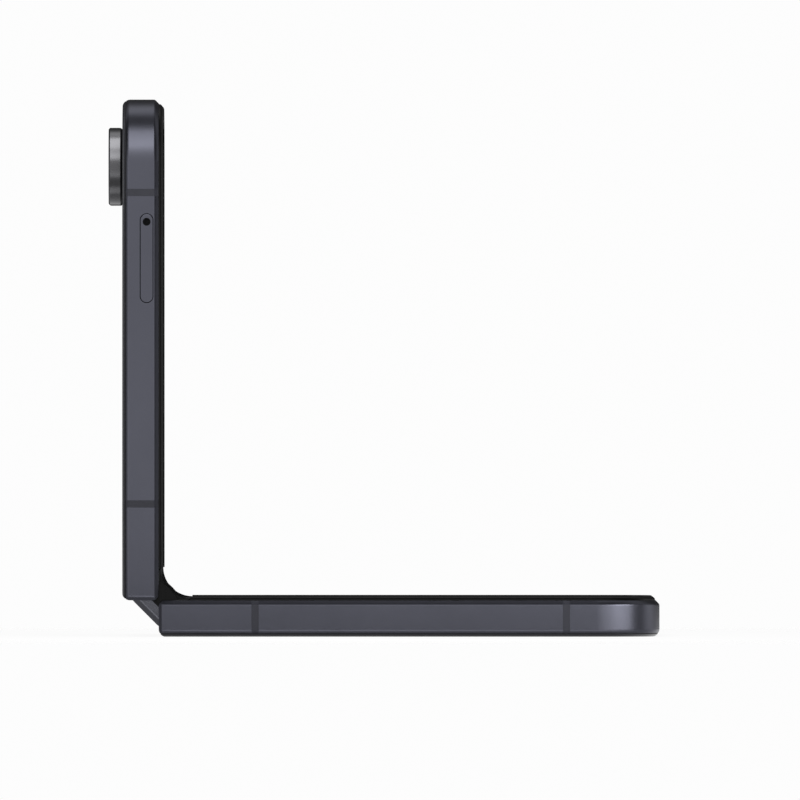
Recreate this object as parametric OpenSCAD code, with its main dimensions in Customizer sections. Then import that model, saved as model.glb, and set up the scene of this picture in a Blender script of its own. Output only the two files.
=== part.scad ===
// A clamshell phone with a folding screen, half open at a right angle.
// The lower half lies on its back along +X and the upper half stands along +Z.
// Each half is drawn in its own frame: x runs along the half from the fold, z is the
// screen's outward normal, and the frame's inner plane is z = 0. The spine between the
// halves has its own frame, with the two fold axes on its x axis.

/* [Body] */
// Length of each half from its fold end to its free end
half_len = 83.2; // [78:0.1:90]
// Width across the side rails
body_w = 75.2; // [74:0.1:80]
// Depth of each half from the back glass to the frame's inner plane
half_t = 6.03; // [5.95:0.01:6.4]
// Thickness of the back glass
glass_t = 0.5; // [0.4:0.01:0.55]
// Corner radius at the free end, seen from the front
corner_r = 10.5; // [9:0.1:12]
// Rounding along the back edge
back_round = 1.0; // [0.6:0.05:1.2]
// Rounding along the front edge
front_round = 0.6; // [0.3:0.05:0.7]
// Thickness of the rails round the inner hollow
rail_t = 1.6; // [1.4:0.05:1.8]
// Thickness of the rail beside the hinge
hinge_rail_t = 0.9; // [0.8:0.05:1]
// Thickness of the plate under the screen
plate_t = 0.8; // [0.6:0.05:0.9]
// Width of an antenna strip
strip_w = 1.16; // [0.8:0.01:1.6]
// Depth of an antenna strip in the rail
strip_d = 0.8; // [0.5:0.05:1.2]
// Distance from the free end to the outer antenna strip
strip_from_free = 15.5; // [13:0.1:20]
// Distance from the fold end to the inner antenna strip
strip_from_fold = 16; // [14:0.1:20]

/* [Screen] */
// Height of the screen surface over the frame's inner plane
screen_h = 0.35; // [0.3:0.01:0.4]
// Thickness of the screen panel where it is stiff
panel_t = 0.6; // [0.5:0.01:0.65]
// Thickness of the screen where it folds
fold_panel_t = 0.4; // [0.3:0.01:0.45]
// Radius of the screen surface in the fold when the halves stand square
screen_fold_r = 4.88; // [4.8:0.01:5]
// Height of the raised rim over the frame's inner plane
rim_h = 0.55; // [0.5:0.01:0.65]
// Distance from the frame's side to the rim
rim_inset = 0.75; // [0.7:0.01:0.9]
// Width of the rim at the sides
rim_w = 1.95; // [1.8:0.01:2.2]
// How far the rim laps over the edge of the screen
rim_lap = 0.5; // [0.3:0.01:0.6]
// Rounding of the rim's outer edge
rim_round = 0.45; // [0.2:0.01:0.48]
// Radius of the front camera's window
selfie_r = 1.8; // [1.6:0.05:2]
// Distance of the front camera from the free end
selfie_from_free = 6.6; // [6.4:0.1:6.9]

/* [Hinge] */
// Half the distance between the two fold axes
axis_x = 2.4964; // [2.49:0.0001:2.52]
// Depth of the fold axes under the frame's inner plane when open flat
axis_depth = 1.1257; // [1.11:0.0001:1.14]
// Outer radius of the spine about each fold axis
spine_r = 3.95; // [3.9:0.01:3.98]
// Wall of the spine cover
spine_wall = 0.9; // [0.8:0.05:0.95]
// Rounding of the spine's ends
spine_end_round = 1.2; // [0.8:0.05:1.3]
// Running gap between the spine and each half
spine_gap = 0.1; // [0.08:0.01:0.12]
// Half the gap between the two halves when open flat
end_gap = 0.12; // [0.12:0.01:0.16]
// Module of the fold gears
gear_m = 0.16; // [0.16:0.001:0.161]
// Teeth on each main gear
main_teeth = 10; // [10:1:10]
// Teeth on each idler gear
idler_teeth = 12; // [12:1:12]
// Width of the gears
gear_w = 2; // [1.6:0.1:2]
// Radius of the main shafts
shaft_r = 0.45; // [0.4:0.01:0.46]
// Radius of the idler shafts
idler_shaft_r = 0.4; // [0.34:0.01:0.42]
// Running gap round a shaft
shaft_gap = 0.02; // [0.015:0.001:0.03]
// Radius of an arm's knuckle
knuckle_r = 0.9; // [0.8:0.01:0.94]
// Distance of each hinge module's middle from the side
module_from_side = 12.6; // [12.4:0.1:13]
// Thickness of a hinge arm
arm_t = 1.15; // [1:0.01:1.2]
// Length of an arm from the fold end
arm_len = 13; // [12:0.1:14]
// Angle a wing plate sinks between rest and closed
wing_tilt = 6.5; // [4:0.5:7]
// Thickness of a wing plate
wing_t = 0.3; // [0.2:0.01:0.35]

/* [Rear cameras] */
// Outer radius of a camera ring
ring_r = 6.475; // [6.2:0.005:6.6]
// Height of a camera ring over the back glass
ring_h = 2.6; // [1.5:0.05:2.7]
// Radius of the camera ring's neck in the glass
ring_neck_r = 6.03; // [5.7:0.01:6.1]
// Distance of the cameras from the free end
camera_from_free = 10.9; // [10.7:0.05:11.5]
// Distance of the nearer camera from the middle
camera_from_middle = 9.8; // [9.5:0.05:10]
// Distance between the two cameras
camera_pitch = 16.6; // [16:0.1:17]
// Radius of the flash window
flash_r = 2; // [1.5:0.05:2.2]

/* [Controls] */
// Length of the card tray's face
tray_len = 14.7; // [13:0.05:15.5]
// Width of the card tray's face
tray_w = 2.07; // [1.8:0.01:2.2]
// Distance of the card tray from the free end
tray_from_free = 26.4; // [26:0.1:26.8]
// Depth of the card tray's middle under the frame's inner plane
tray_depth = 1.98; // [1.95:0.01:2.05]
// Radius of the eject hole
eject_r = 0.62; // [0.4:0.01:0.65]
// Length of the volume key
volume_len = 17; // [14:0.1:18]
// Distance of the volume key from the free end
volume_from_free = 30; // [28:0.1:31]
// Length of the power key
power_len = 13.6; // [10:0.1:14]
// Distance of the power key from the free end
power_from_free = 50.5; // [49.5:0.1:52]
// Width of both keys
key_w = 2; // [1.8:0.01:2.1]
// Depth of the keys' middle under the frame's inner plane
key_depth = 2.55; // [2.5:0.01:2.7]
// Height of the volume key over the rail
volume_out = 0.45; // [0.35:0.01:0.5]
// Height of the power key over the rail
power_out = 0.25; // [0.15:0.01:0.35]
// Gap round a key and round the card tray
key_gap = 0.1; // [0.08:0.01:0.12]

/* [Ports] */
// Width of the charging socket
port_w = 9.1; // [9:0.01:9.2]
// Height of the charging socket
port_h = 3.3; // [3.2:0.01:3.35]
// Length of the charging socket
port_len = 6.8; // [6.4:0.1:7]
// Radius of a speaker hole
speaker_hole_r = 0.5; // [0.4:0.01:0.6]
// Number of speaker holes
speaker_holes = 6; // [4:1:6]

/* [Inside] */
// Length of the lower battery
lower_battery_len = 39.5; // [36:0.1:40]
// Length of the upper battery
upper_battery_len = 26.5; // [24:0.1:27]
// Clearance between the batteries and the side rails
battery_gap = 5; // [4:0.1:9]
// Thickness of both batteries
battery_t = 3.9; // [3.6:0.01:4]
// Thickness of a circuit board
board_t = 0.7; // [0.6:0.01:0.8]
// Depth of the circuit boards under the plate
board_drop = 1.95; // [1.9:0.01:2]
// Clearance between the circuit boards and the side rails
board_gap = 2.1; // [2:0.05:2.5]
// Clearance between the cover screen and the side rails
cover_gap = 4; // [3.5:0.1:6]
// Radius of the board screws
screw_r = 0.6; // [0.5:0.01:0.7]
// Radius of the board screws' heads
screw_head_r = 1.2; // [1:0.01:1.3]

/* [Hidden] */
$fn = 64;

eps = 0.05;
over = 1;
side = body_w / 2;
fold_end = end_gap;
free_end = end_gap + half_len;
back = -half_t;
glass_top = back + glass_t;
axis_z = -axis_depth;

// Layers of a half, from the screen down
panel_bottom = screen_h - panel_t;
plate_bottom = panel_bottom - plate_t;
board_top = plate_bottom - board_drop;
board_bottom = board_top - board_t;

// Edges of the rim and the screen
rim_outer = side - rim_inset;
rim_inner = rim_outer - rim_w;
screen_side = rim_inner + rim_lap;
rim_free = free_end - rim_inset;
rim_end_w = rim_w - 0.15;
screen_free = rim_free - rim_end_w + rim_lap;
rim_corner = corner_r - rim_inset;
slit_w = 0.3;

// The hollow in the back of each half
hollow_side = side - rail_t;
hollow_free = free_end - rail_t;
hollow_fold = 8.5;

// The bay in the fold end, which holds the spine
bay_r = spine_r + spine_gap;
bay_side = side - hinge_rail_t;
bay_end = axis_x + bay_r;

// Where the screen starts to bend: the arc that is tangent to both halves at right angles
// puts its ends here
quarter = 45;
screen_bend_x = axis_x + (screen_fold_r * sin(quarter) - axis_x
    + (screen_h + axis_depth) * sin(quarter)) / cos(quarter);
bend_end_x = screen_fold_r * sin(quarter);
bend_end_z = axis_z + (screen_h + axis_depth) * cos(quarter)
    + (screen_bend_x - axis_x) * sin(quarter);
bend_centre_z = bend_end_z + screen_fold_r * cos(quarter);
rim_fold = screen_bend_x;

// The two halves about the spine at rest, each turned by a quarter of the full fold
tilt = quarter;
half_dx = (axis_x + axis_z) * cos(tilt) - axis_x;
half_dz = (axis_z - axis_x) * cos(tilt) - axis_z;

// The origin is under the middle of the whole phone at rest
camera_face = back - ring_h;
origin_x = -((free_end + half_dx) + (camera_face + half_dz)) / 2;
origin_y = -volume_out / 2;
origin_z = half_t - half_dz;

// The spine
spine_bottom = axis_z - spine_r;
spine_floor = spine_bottom + spine_wall;
spine_wall_top = -2.15;
spine_cap_base = -2.81;
spine_side = bay_side - spine_gap;
end_wall = 1;
cap_inner = screen_side + 0.15;

// The fold gears: two idlers between the main gears
main_r = gear_m * main_teeth / 2;
idler_r = gear_m * idler_teeth / 2;
idler_x = idler_r;
idler_drop = sqrt(pow(main_r + idler_r, 2) - pow(axis_x - idler_x, 2));
idler_z = axis_z - idler_drop;
line_angle = atan2(idler_drop, axis_x - idler_x);
addendum = 0.8;
dedendum = 1.25;

// The hinge module, along its width from the inner side
module_y = side - module_from_side;
module_half_w = 9;
wall_w = 1;
mid_wall_w = 0.8;
part_gap = 0.2;
gear_from = -module_half_w + wall_w + part_gap;
mid_wall_from = gear_from + gear_w + part_gap;
arm_from = mid_wall_from + mid_wall_w + part_gap;
arm_w = 4;
spring_from = arm_from + arm_w + part_gap;
spring_to = module_half_w - wall_w - part_gap;
arm_top = -0.55;
arm_bottom = arm_top - arm_t;
pad_w = 10;
pad_x = 7.2;
pad_screw_x = arm_len - 2.5;
pad_screw_y = 3;
ledge_depth = 1.5;

// The wing plates and their pivots
wing_top = -0.35;
wing_pivot_x = 6;
wing_barrel_r = 0.25;
wing_pin_r = 0.2;
wing_pivot_z = wing_top - wing_barrel_r;
wing_side = module_y - module_half_w - 1.3;
wing_inner_x = 1.3;
wing_notch_x = 5.2;
ear_w = 1;
ear_gap = 0.15;

// The cable that crosses the fold
cable_w = 8;
cable_t = 0.2;
cable_top = plate_bottom - 0.1;
cable_bend_r = 6;
cable_end_x = 11;
cable_plug_x = 14;

// Cameras
camera_x = free_end - camera_from_free;
camera_y = [camera_from_middle + camera_pitch, camera_from_middle];
camera_box = 10.4;
ring_bore_r = 5.3;
lens_t = 0.55;
lens_sink = 0.18;
barrel_r = 4.6;
barrel_bottom = camera_face + lens_sink + lens_t;
ring_bottom = glass_top + 0.33;
flash_y = camera_y[1] - ring_r - 4.6;
selfie_x = free_end - selfie_from_free;
selfie_box = 5.4;

// Keys and tray
tray_x = free_end - tray_from_free;
volume_x = free_end - volume_from_free;
power_x = free_end - power_from_free;
key_flange_t = 0.6;
key_inner = hollow_side - key_gap - key_flange_t;
key_pivot_y = key_inner + key_flange_t / 2;
plunger_r = 0.6;
plunger_tip = key_inner - 0.15;
switch_face = plunger_tip - 0.25;
tray_card = [9, 12.3];
tray_plate_w = 12;
tray_plate_t = 0.84;
tray_reach = 14;
reader_wall = 0.4;

// Inside pieces
battery_from = arm_len + 3.5;
lower_board_from = battery_from + lower_battery_len + 2;
upper_board_from = battery_from + upper_battery_len + 2;
board_free = hollow_free - 1.3;
board_side = hollow_side - board_gap;
battery_side = hollow_side - battery_gap;
cover_side = hollow_side - cover_gap;
can_side = board_side - 5.9;
can_inner = [3, 1];
can_ends = [[4, 20], [1.5, 12.5]];
can_t = 1.2;
boss_edge = 2.9;
board_corner = corner_r - rail_t - 0.9;
boss_r = 1.8;
upper_bosses = [
    [upper_board_from + 2.2, board_side - boss_edge],
    [upper_board_from + 2.2, tray_reach + 4.1 - side],
    [upper_board_from + 15, camera_y[1] + 8.4],
    [upper_board_from + 22, flash_y - 10.7],
    [board_free - 4.9, -14]
];
mic_y = 9;
lower_bosses = [
    [lower_board_from + 2, board_side - boss_edge],
    [lower_board_from + 2, -8.5],
    [lower_board_from + 14, mic_y + 3],
    [lower_board_from + 12, board_side - boss_edge - 2]
];
port_z = plate_bottom - port_h / 2;
port_wall = 0.3;
port_mouth = free_end - 0.3;
speaker_pitch = 1.9;
speaker_y = [4 - hollow_side, -13];
magnet = [2, 6, 1.2];
magnet_y = 18;

// The frame colours
metal = "#5b5c62";
strip_colour = "#494a51";
screen_colour = "#101113";

// Places a half's or the spine's own frame in the phone's frame

module place_spine()
    translate([origin_x, origin_y, origin_z])
        rotate([0, tilt, 0])
            children();

module place_lower()
    translate([origin_x + half_dx, origin_y, origin_z + half_dz])
        children();

module place_upper()
    translate([origin_x, origin_y, origin_z])
        mirror([1, 0, -1])
            translate([half_dx, 0, half_dz])
                children();

// Extrudes an outline drawn in x and z along y
module along_y(from, to)
    translate([0, to, 0])
        rotate([90, 0, 0])
            linear_extrude(to - from)
                children();

// Extrudes an outline drawn in y and z along x
module along_x(from, to)
    translate([from, 0, 0])
        rotate([90, 0, 90])
            linear_extrude(to - from)
                children();

module both_sides() {
    children();
    mirror([0, 1, 0]) children();
}

// A box from one corner to the other
module block(low, high)
    translate(low)
        cube(high - low);

// A slot outline with round ends, its middle at the origin
module slot(length, width) {
    square([length - width, width], center = true);
    for (s = [-1, 1])
        translate([s * (length - width) / 2, 0])
            circle(width / 2);
}

// The outline of a plate that runs from the fold to the free end with two round corners
module plan(from, to, half_width, r) {
    translate([from, -half_width])
        square([to - r - from, 2 * half_width]);
    translate([to - r - eps, -half_width + r])
        square([r + eps, 2 * (half_width - r)]);
    for (s = [-1, 1])
        translate([to - r, s * (half_width - r)])
            circle(r);
}

// The section through one edge of a slab, from the inside out to its side
module edge_section(reach, low, high, low_r, high_r)
    intersection() {
        union() {
            translate([0, low + low_r])
                square([reach, high - low - low_r - high_r]);
            translate([0, low])
                square([reach - max(low_r, high_r), high - low]);
            if (low_r > 0)
                translate([reach - low_r, low + low_r])
                    circle(low_r);
            translate([reach - high_r, high - high_r])
                circle(high_r);
            translate([0, high - high_r - eps])
                square([reach - high_r, high_r + eps]);
        }
        translate([0, low])
            square([reach, high - low]);
    }

// A slab with round corners at its free end and rounded edges, cut square at its fold end
module slab(from, to, half_width, r, low, high, low_r, high_r) {
    translate([to - r, 0, 0])
        rotate([90, 0, -90])
            linear_extrude(to - r - from) {
                edge_section(half_width, low, high, low_r, high_r);
                mirror([1, 0]) edge_section(half_width, low, high, low_r, high_r);
            }
    for (s = [0, 1])
        mirror([0, s, 0])
            translate([to - r, half_width - r, 0]) {
                rotate([90, 0, 0])
                    linear_extrude(half_width - r)
                        edge_section(r, low, high, low_r, high_r);
                rotate_extrude(angle = 90)
                    edge_section(r, low, high, low_r, high_r);
            }
}

// The side outline that rounds a half's fold end
module fold_end_section() {
    r = front_round;
    b = 0.8;
    translate([fold_end, back + b])
        square([free_end + over, half_t - b - r]);
    translate([fold_end + r, -r - eps])
        square([free_end + over, r + eps]);
    translate([fold_end + b, back])
        square([free_end + over, b + eps]);
    translate([fold_end + r, -r])
        circle(r);
    translate([fold_end + b, back + b])
        circle(b);
}

// A whole half as one closed body
module half_body()
    intersection() {
        slab(fold_end, free_end, side, corner_r, back, 0, back_round, front_round);
        along_y(-body_w, body_w)
            fold_end_section();
    }

module strip_places()
    both_sides()
        for (x = [fold_end + strip_from_fold, free_end - strip_from_free])
            block(
                [x - strip_w / 2, side - strip_d, glass_top],
                [x + strip_w / 2, side + over, over]
            );

// The bay that the spine turns in
module hinge_bay()
    along_y(-bay_side, bay_side) {
        translate([axis_x, axis_z])
            circle(bay_r);
        translate([-over, axis_z - bay_r])
            square([axis_x + over, bay_r + axis_depth + over]);
        translate([axis_x, axis_z])
            square([bay_end - axis_x, axis_depth + over]);
    }

// The blocks that the hinge arms are screwed to
module arm_ledges()
    both_sides()
        block(
            [hollow_fold - eps, module_y - pad_w / 2 - 1, arm_bottom - ledge_depth],
            [arm_len + 1, module_y + pad_w / 2 + 1, plate_bottom + eps]
        );

module arm_pockets()
    both_sides() {
        block(
            [bay_end - over, module_y - pad_w / 2 - key_gap, arm_bottom],
            [arm_len + key_gap, module_y + pad_w / 2 + key_gap, over]
        );
        for (s = [-1, 1])
            translate([pad_screw_x, module_y + s * pad_screw_y, arm_bottom - ledge_depth - over])
                cylinder(h = ledge_depth + over + eps, r = screw_r);
    }

// The hollow in the back, with the ledges and the screw bosses left standing
module back_hollow(bosses)
    difference() {
        translate([0, 0, glass_top - over])
            linear_extrude(plate_bottom - glass_top + over)
                plan(hollow_fold, hollow_free, hollow_side, corner_r - rail_t);
        arm_ledges();
        for (b = bosses)
            translate([b[0], b[1], board_top])
                cylinder(h = board_drop + over, r = boss_r);
    }

module wing_ears()
    both_sides()
        block(
            [wing_pivot_x - 0.45, wing_side + ear_gap, wing_pivot_z - 0.4],
            [bay_end + eps, wing_side + ear_gap + ear_w, panel_bottom]
        );

module wing_pin_holes()
    along_y(-side, side)
        translate([wing_pivot_x, wing_pivot_z])
            circle(wing_pin_r + shaft_gap);

module frame_shell(bosses) {
    difference() {
        intersection() {
            half_body();
            block([-over, -body_w, glass_top], [free_end + over, body_w, over]);
        }
        strip_places();
        hinge_bay();
        back_hollow(bosses);
        translate([0, 0, panel_bottom])
            linear_extrude(over)
                plan(bay_end - over, screen_free + eps, screen_side + eps, rim_corner - rim_end_w);
        arm_pockets();
        block(
            [bay_end - over, -cable_w / 2 - 0.5, cable_top - cable_t - 0.2],
            [hollow_fold + over, cable_w / 2 + 0.5, plate_bottom]
        );
        for (b = bosses)
            translate([b[0], b[1], board_top - eps])
                cylinder(h = board_drop + eps, r = screw_r);
    }
    difference() {
        wing_ears();
        wing_pin_holes();
    }
}

module back_glass()
    intersection() {
        half_body();
        block([-over, -body_w, back - over], [free_end + over, body_w, glass_top]);
    }

module rim_ring()
    difference() {
        slab(rim_fold, rim_free, rim_outer, rim_corner, 0, rim_h, 0, rim_round);
        translate([0, 0, -over])
            linear_extrude(rim_h + 2 * over)
                plan(rim_fold - over, rim_free - rim_end_w, rim_inner, rim_corner - rim_end_w);
        translate([0, 0, -over])
            linear_extrude(screen_h + over)
                plan(rim_fold - over, screen_free, screen_side, rim_corner - rim_end_w + rim_lap);
    }

module antenna_strips()
    intersection() {
        half_body();
        strip_places();
    }

module stiff_panel()
    translate([0, 0, panel_bottom])
        linear_extrude(panel_t)
            plan(screen_bend_x, screen_free, screen_side, rim_corner - rim_end_w + rim_lap);

module battery(length)
    block(
        [battery_from, -battery_side, plate_bottom - battery_t],
        [battery_from + length, battery_side, plate_bottom]
    );

module board_screws(bosses)
    for (b = bosses)
        translate([b[0], b[1], board_bottom]) {
            translate([0, 0, -0.5])
                cylinder(h = 0.5, r = screw_head_r);
            cylinder(h = board_t + board_drop - 0.3, r = screw_r);
        }

module board_holes(bosses)
    for (b = bosses)
        translate([b[0], b[1], board_bottom - over])
            cylinder(h = board_t + 2 * over, r = screw_r);

module magnets()
    for (s = [-1, 1])
        translate([board_free - magnet[0] + 1, s * magnet_y - magnet[1] / 2, plate_bottom - magnet[2]])
            cube(magnet);

// The hinge pieces that turn with a half, at its fold axis

module arms()
    both_sides()
        difference() {
            union() {
                along_y(module_y + arm_from, module_y + arm_from + arm_w) {
                    translate([axis_x, axis_z])
                        circle(knuckle_r);
                    translate([axis_x, arm_bottom])
                        square([pad_x - axis_x + eps, arm_t]);
                }
                block(
                    [pad_x, module_y - pad_w / 2, arm_bottom],
                    [arm_len, module_y + pad_w / 2, arm_top]
                );
            }
            along_y(0, body_w)
                translate([axis_x, axis_z])
                    circle(shaft_r);
            for (s = [-1, 1])
                translate([pad_screw_x, module_y + s * pad_screw_y, 0]) {
                    translate([0, 0, arm_bottom - over])
                        cylinder(h = arm_t + 2 * over, r = screw_r);
                    translate([0, 0, arm_top - 0.45])
                        cylinder(h = over, r = screw_head_r - 0.1);
                }
        }

module arm_screws()
    both_sides()
        for (s = [-1, 1])
            translate([pad_screw_x, module_y + s * pad_screw_y, 0]) {
                translate([0, 0, arm_top - 0.45])
                    cylinder(h = 0.45, r = screw_head_r - 0.1);
                translate([0, 0, arm_bottom - 1.2])
                    cylinder(h = 1.2 + arm_t - 0.45 + eps, r = screw_r);
            }

module main_shafts()
    both_sides()
        along_y(module_y - module_half_w, module_y + module_half_w)
            translate([axis_x, axis_z])
                circle(shaft_r);

module wing_plate()
    translate([wing_pivot_x, 0, wing_pivot_z])
        rotate([0, -wing_tilt, 0])
            translate([-wing_pivot_x, 0, -wing_pivot_z]) {
                difference() {
                    union() {
                        block(
                            [wing_inner_x, -wing_side, wing_top - wing_t],
                            [wing_pivot_x, wing_side, wing_top]
                        );
                        along_y(-wing_side, wing_side)
                            translate([wing_pivot_x, wing_pivot_z])
                                circle(wing_barrel_r);
                    }
                    block(
                        [wing_inner_x - over, -cable_w / 2 - 0.6, -2],
                        [wing_notch_x, cable_w / 2 + 0.6, 1]
                    );
                }
                both_sides()
                    along_y(wing_side - eps, wing_side + ear_gap + ear_w)
                        translate([wing_pivot_x, wing_pivot_z])
                            circle(wing_pin_r);
            }

// A gear outline with a tooth's middle at the given angle
module gear_outline(teeth, angle) {
    pitch_r = gear_m * teeth / 2;
    root_r = pitch_r - dedendum * gear_m;
    tip_r = pitch_r + addendum * gear_m;
    pitch_half = 0.66 * gear_m;
    half_at = [[root_r, 0.92 * gear_m], [pitch_r, pitch_half], [tip_r, 0.3 * gear_m]];
    tooth = [
        for (p = half_at) [p[0], -p[1]],
        for (i = [2, 1, 0]) [half_at[i][0], half_at[i][1]]
    ];
    polygon([
        for (k = [0 : teeth - 1])
            for (p = tooth)
                let (a = angle + 360 * k / teeth + p[1] / p[0] * 180 / PI)
                    [p[0] * cos(a), p[0] * sin(a)]
    ]);
}

// The tooth angle of a gear that meshes with another across a line of centres
function mesh_angle(line, other_angle, other_teeth, teeth) =
    line + 180 - (other_angle - line) * other_teeth / teeth + 180 / teeth;

lower_idler_angle = 180;
upper_idler_angle = mesh_angle(180, lower_idler_angle, idler_teeth, idler_teeth);
lower_gear_angle = mesh_angle(line_angle, lower_idler_angle, idler_teeth, main_teeth);
upper_gear_angle = mesh_angle(180 - line_angle, upper_idler_angle, idler_teeth, main_teeth);

module main_gears(s, angle)
    both_sides()
        along_y(module_y + gear_from, module_y + gear_from + gear_w)
            translate([s * axis_x, axis_z])
                difference() {
                    gear_outline(main_teeth, angle);
                    circle(shaft_r);
                }

module idler_gears(s, angle)
    both_sides() {
        along_y(module_y + gear_from, module_y + gear_from + gear_w)
            translate([s * idler_x, idler_z])
                gear_outline(idler_teeth, angle);
        along_y(module_y - module_half_w, module_y + mid_wall_from + mid_wall_w)
            translate([s * idler_x, idler_z])
                circle(idler_shaft_r);
    }

// A coil of wire along y: rings of points swept round a helix
module coil(turns, length, mean_r, wire_r) {
    steps = 8;
    sides = 4;
    rings = turns * steps;
    points = [
        for (i = [0 : rings])
            for (j = [0 : sides - 1])
                let (a = 360 * i / steps, b = 360 * j / sides, r = mean_r + wire_r * cos(b))
                    [r * cos(a), wire_r + (length - 2 * wire_r) * i / rings + wire_r * sin(b), r * sin(a)]
    ];
    walls = [
        for (i = [0 : rings - 1])
            for (j = [0 : sides - 1])
                let (p = i * sides, k = (j + 1) % sides)
                    each [
                        [p + j, p + k, p + sides + k],
                        [p + j, p + sides + k, p + sides + j]
                    ]
    ];
    low_end = [for (j = [1 : sides - 2]) [0, j + 1, j]];
    top = rings * sides;
    high_end = [for (j = [1 : sides - 2]) [top, top + j, top + j + 1]];
    polyhedron(points, concat(walls, low_end, high_end));
}

module spine_outline(r, top) {
    difference() {
        union() {
            for (s = [-1, 1])
                translate([s * axis_x, axis_z])
                    circle(r);
            translate([-axis_x, axis_z - r])
                square([2 * axis_x, r]);
        }
        translate([-2 * spine_r, top])
            square([4 * spine_r, 2 * spine_r]);
    }
}

// The spine's outline from the side of the phone's width, with round ends
module spine_end_outline() {
    r = spine_end_round;
    translate([-spine_side, spine_bottom + r])
        square([2 * spine_side, 4 * spine_r]);
    translate([-spine_side + r, spine_bottom])
        square([2 * (spine_side - r), r + eps]);
    for (s = [-1, 1])
        translate([s * (spine_side - r), spine_bottom + r])
            circle(r);
}

module cap_outline() {
    shoulder = 2.4;
    crown = 1.05;
    bar = 3.6;
    stem = 1.5;
    polygon([
        [-stem, spine_cap_base],
        [stem, spine_cap_base],
        [stem, -1],
        [bar, -1],
        [bar, 0],
        [shoulder, 0.25],
        [crown, rim_h],
        [0, rim_h + 0.05],
        [-crown, rim_h],
        [-shoulder, 0.25],
        [-bar, 0],
        [-bar, -1],
        [-stem, -1]
    ]);
}

module bracket_wall(from, to, with_idlers)
    along_y(module_y + from, module_y + to)
        difference() {
            polygon([
                [-2.2, spine_floor],
                [2.2, spine_floor],
                [3.4, -2.4],
                [3.4, -0.7],
                [3, -0.3],
                [-3, -0.3],
                [-3.4, -0.7],
                [-3.4, -2.4]
            ]);
            for (s = [-1, 1]) {
                translate([s * axis_x, axis_z])
                    circle(shaft_r + shaft_gap);
                if (with_idlers)
                    translate([s * idler_x, idler_z])
                        circle(idler_shaft_r + shaft_gap);
            }
        }

bracket_base_t = 0.6;
bracket_screw_y = [-1, 5];

module fold_arc()
    translate([0, 0, bend_centre_z])
        along_y(-screen_side, screen_side)
            difference() {
                circle(screen_fold_r + fold_panel_t);
                circle(screen_fold_r);
            }

// A wedge that keeps one side of the fold's arc
module fold_wedge(s)
    along_y(-body_w, body_w)
        polygon([
            [0, bend_centre_z],
            [s * 10, bend_centre_z - 10],
            [s * 10, bend_centre_z - 20],
            [0, bend_centre_z - 20]
        ]);

module camera_places()
    for (y = camera_y)
        translate([camera_x, y, 0])
            children();

module key_shape(x, length, out, flange, plungers, pivot = 0) {
    translate([x, 0, -key_depth]) {
        if (pivot > 0)
            translate([0, key_pivot_y, -1.4])
                cylinder(h = 2.8, r = pivot);
        translate([0, side + out, 0])
            rotate([90, 0, 0])
                linear_extrude(side + out - key_inner - key_flange_t / 2)
                    slot(length, key_w);
        block([-flange, key_inner, -1.4], [flange, key_inner + key_flange_t, 1.4]);
        for (p = plungers)
            translate([p, plunger_tip, 0])
                rotate([-90, 0, 0])
                    cylinder(h = side - plunger_tip, r = plunger_r);
    }
}

module key_slot(x, length)
    translate([x, side + over, -key_depth])
        rotate([90, 0, 0])
            linear_extrude(rail_t + 2 * over)
                slot(length + 2 * key_gap, key_w + 2 * key_gap);

// The lower half, which lies on its back

module lower_frame()
    color(metal)
        place_lower()
            difference() {
                frame_shell(lower_bosses);
                along_x(hollow_free - over, free_end + over)
                    translate([0, port_z])
                        slot(port_w, port_h);
                for (i = [0 : speaker_holes - 1])
                    translate([hollow_free - over, -12 - i * speaker_pitch, port_z])
                        rotate([0, 90, 0])
                            cylinder(h = rail_t + 2 * over, r = speaker_hole_r);
                translate([hollow_free - over, mic_y, port_z])
                    rotate([0, 90, 0])
                        cylinder(h = rail_t + 2 * over, r = speaker_hole_r);
            }

module lower_back_glass() color("#2c2d33") place_lower() back_glass();

module lower_rim() color(screen_colour) place_lower() rim_ring();

module lower_antenna_strips() color(strip_colour) place_lower() antenna_strips();

module lower_display() color("black") place_lower() stiff_panel();

module lower_battery() color("#3a3a3c") place_lower() battery(lower_battery_len);

module charging_coil()
    color("#b87333")
        place_lower()
            translate([battery_from + lower_battery_len / 2, 0, plate_bottom - battery_t - 0.2])
                difference() {
                    cylinder(h = 0.2, r = lower_battery_len / 2 - 1);
                    translate([0, 0, -over])
                        cylinder(h = 2 * over, r = 9);
                }

module sub_board()
    color("#1f5a3a")
        place_lower()
            difference() {
                translate([0, 0, board_bottom])
                    linear_extrude(board_t)
                        intersection() {
                            plan(lower_board_from, board_free, board_side, board_corner);
                            translate([0, -11])
                                square([free_end, body_w]);
                        }
                block(
                    [port_mouth - port_len - eps, -port_w / 2 - 0.15, board_bottom - over],
                    [free_end, port_w / 2 + 0.15, 0]
                );
                board_holes(lower_bosses);
            }

module usb_port_shell()
    color("silver")
        place_lower()
            difference() {
                along_x(port_mouth - port_len, port_mouth)
                    translate([0, port_z])
                        slot(port_w, port_h);
                along_x(port_mouth - port_len + 2 * port_wall, port_mouth + over)
                    translate([0, port_z])
                        slot(port_w - 2 * port_wall, port_h - 2 * port_wall);
            }

module usb_port_tongue()
    color("#202020")
        place_lower()
            block(
                [port_mouth - port_len + 2 * port_wall, -3.35, port_z - 0.35],
                [port_mouth - 0.8, 3.35, port_z + 0.35]
            );

module main_speaker()
    color("#222222")
        place_lower()
            block(
                [lower_board_from + 4, speaker_y[0], glass_top + 0.25],
                [board_free - 2, speaker_y[1], plate_bottom]
            );

module bottom_microphone()
    color("silver")
        place_lower()
            block([board_free - 1.5, mic_y - 1.5, board_top], [hollow_free - 0.1, mic_y + 1.5, board_top + 1.4]);

module lower_magnets() color("silver") place_lower() magnets();

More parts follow.
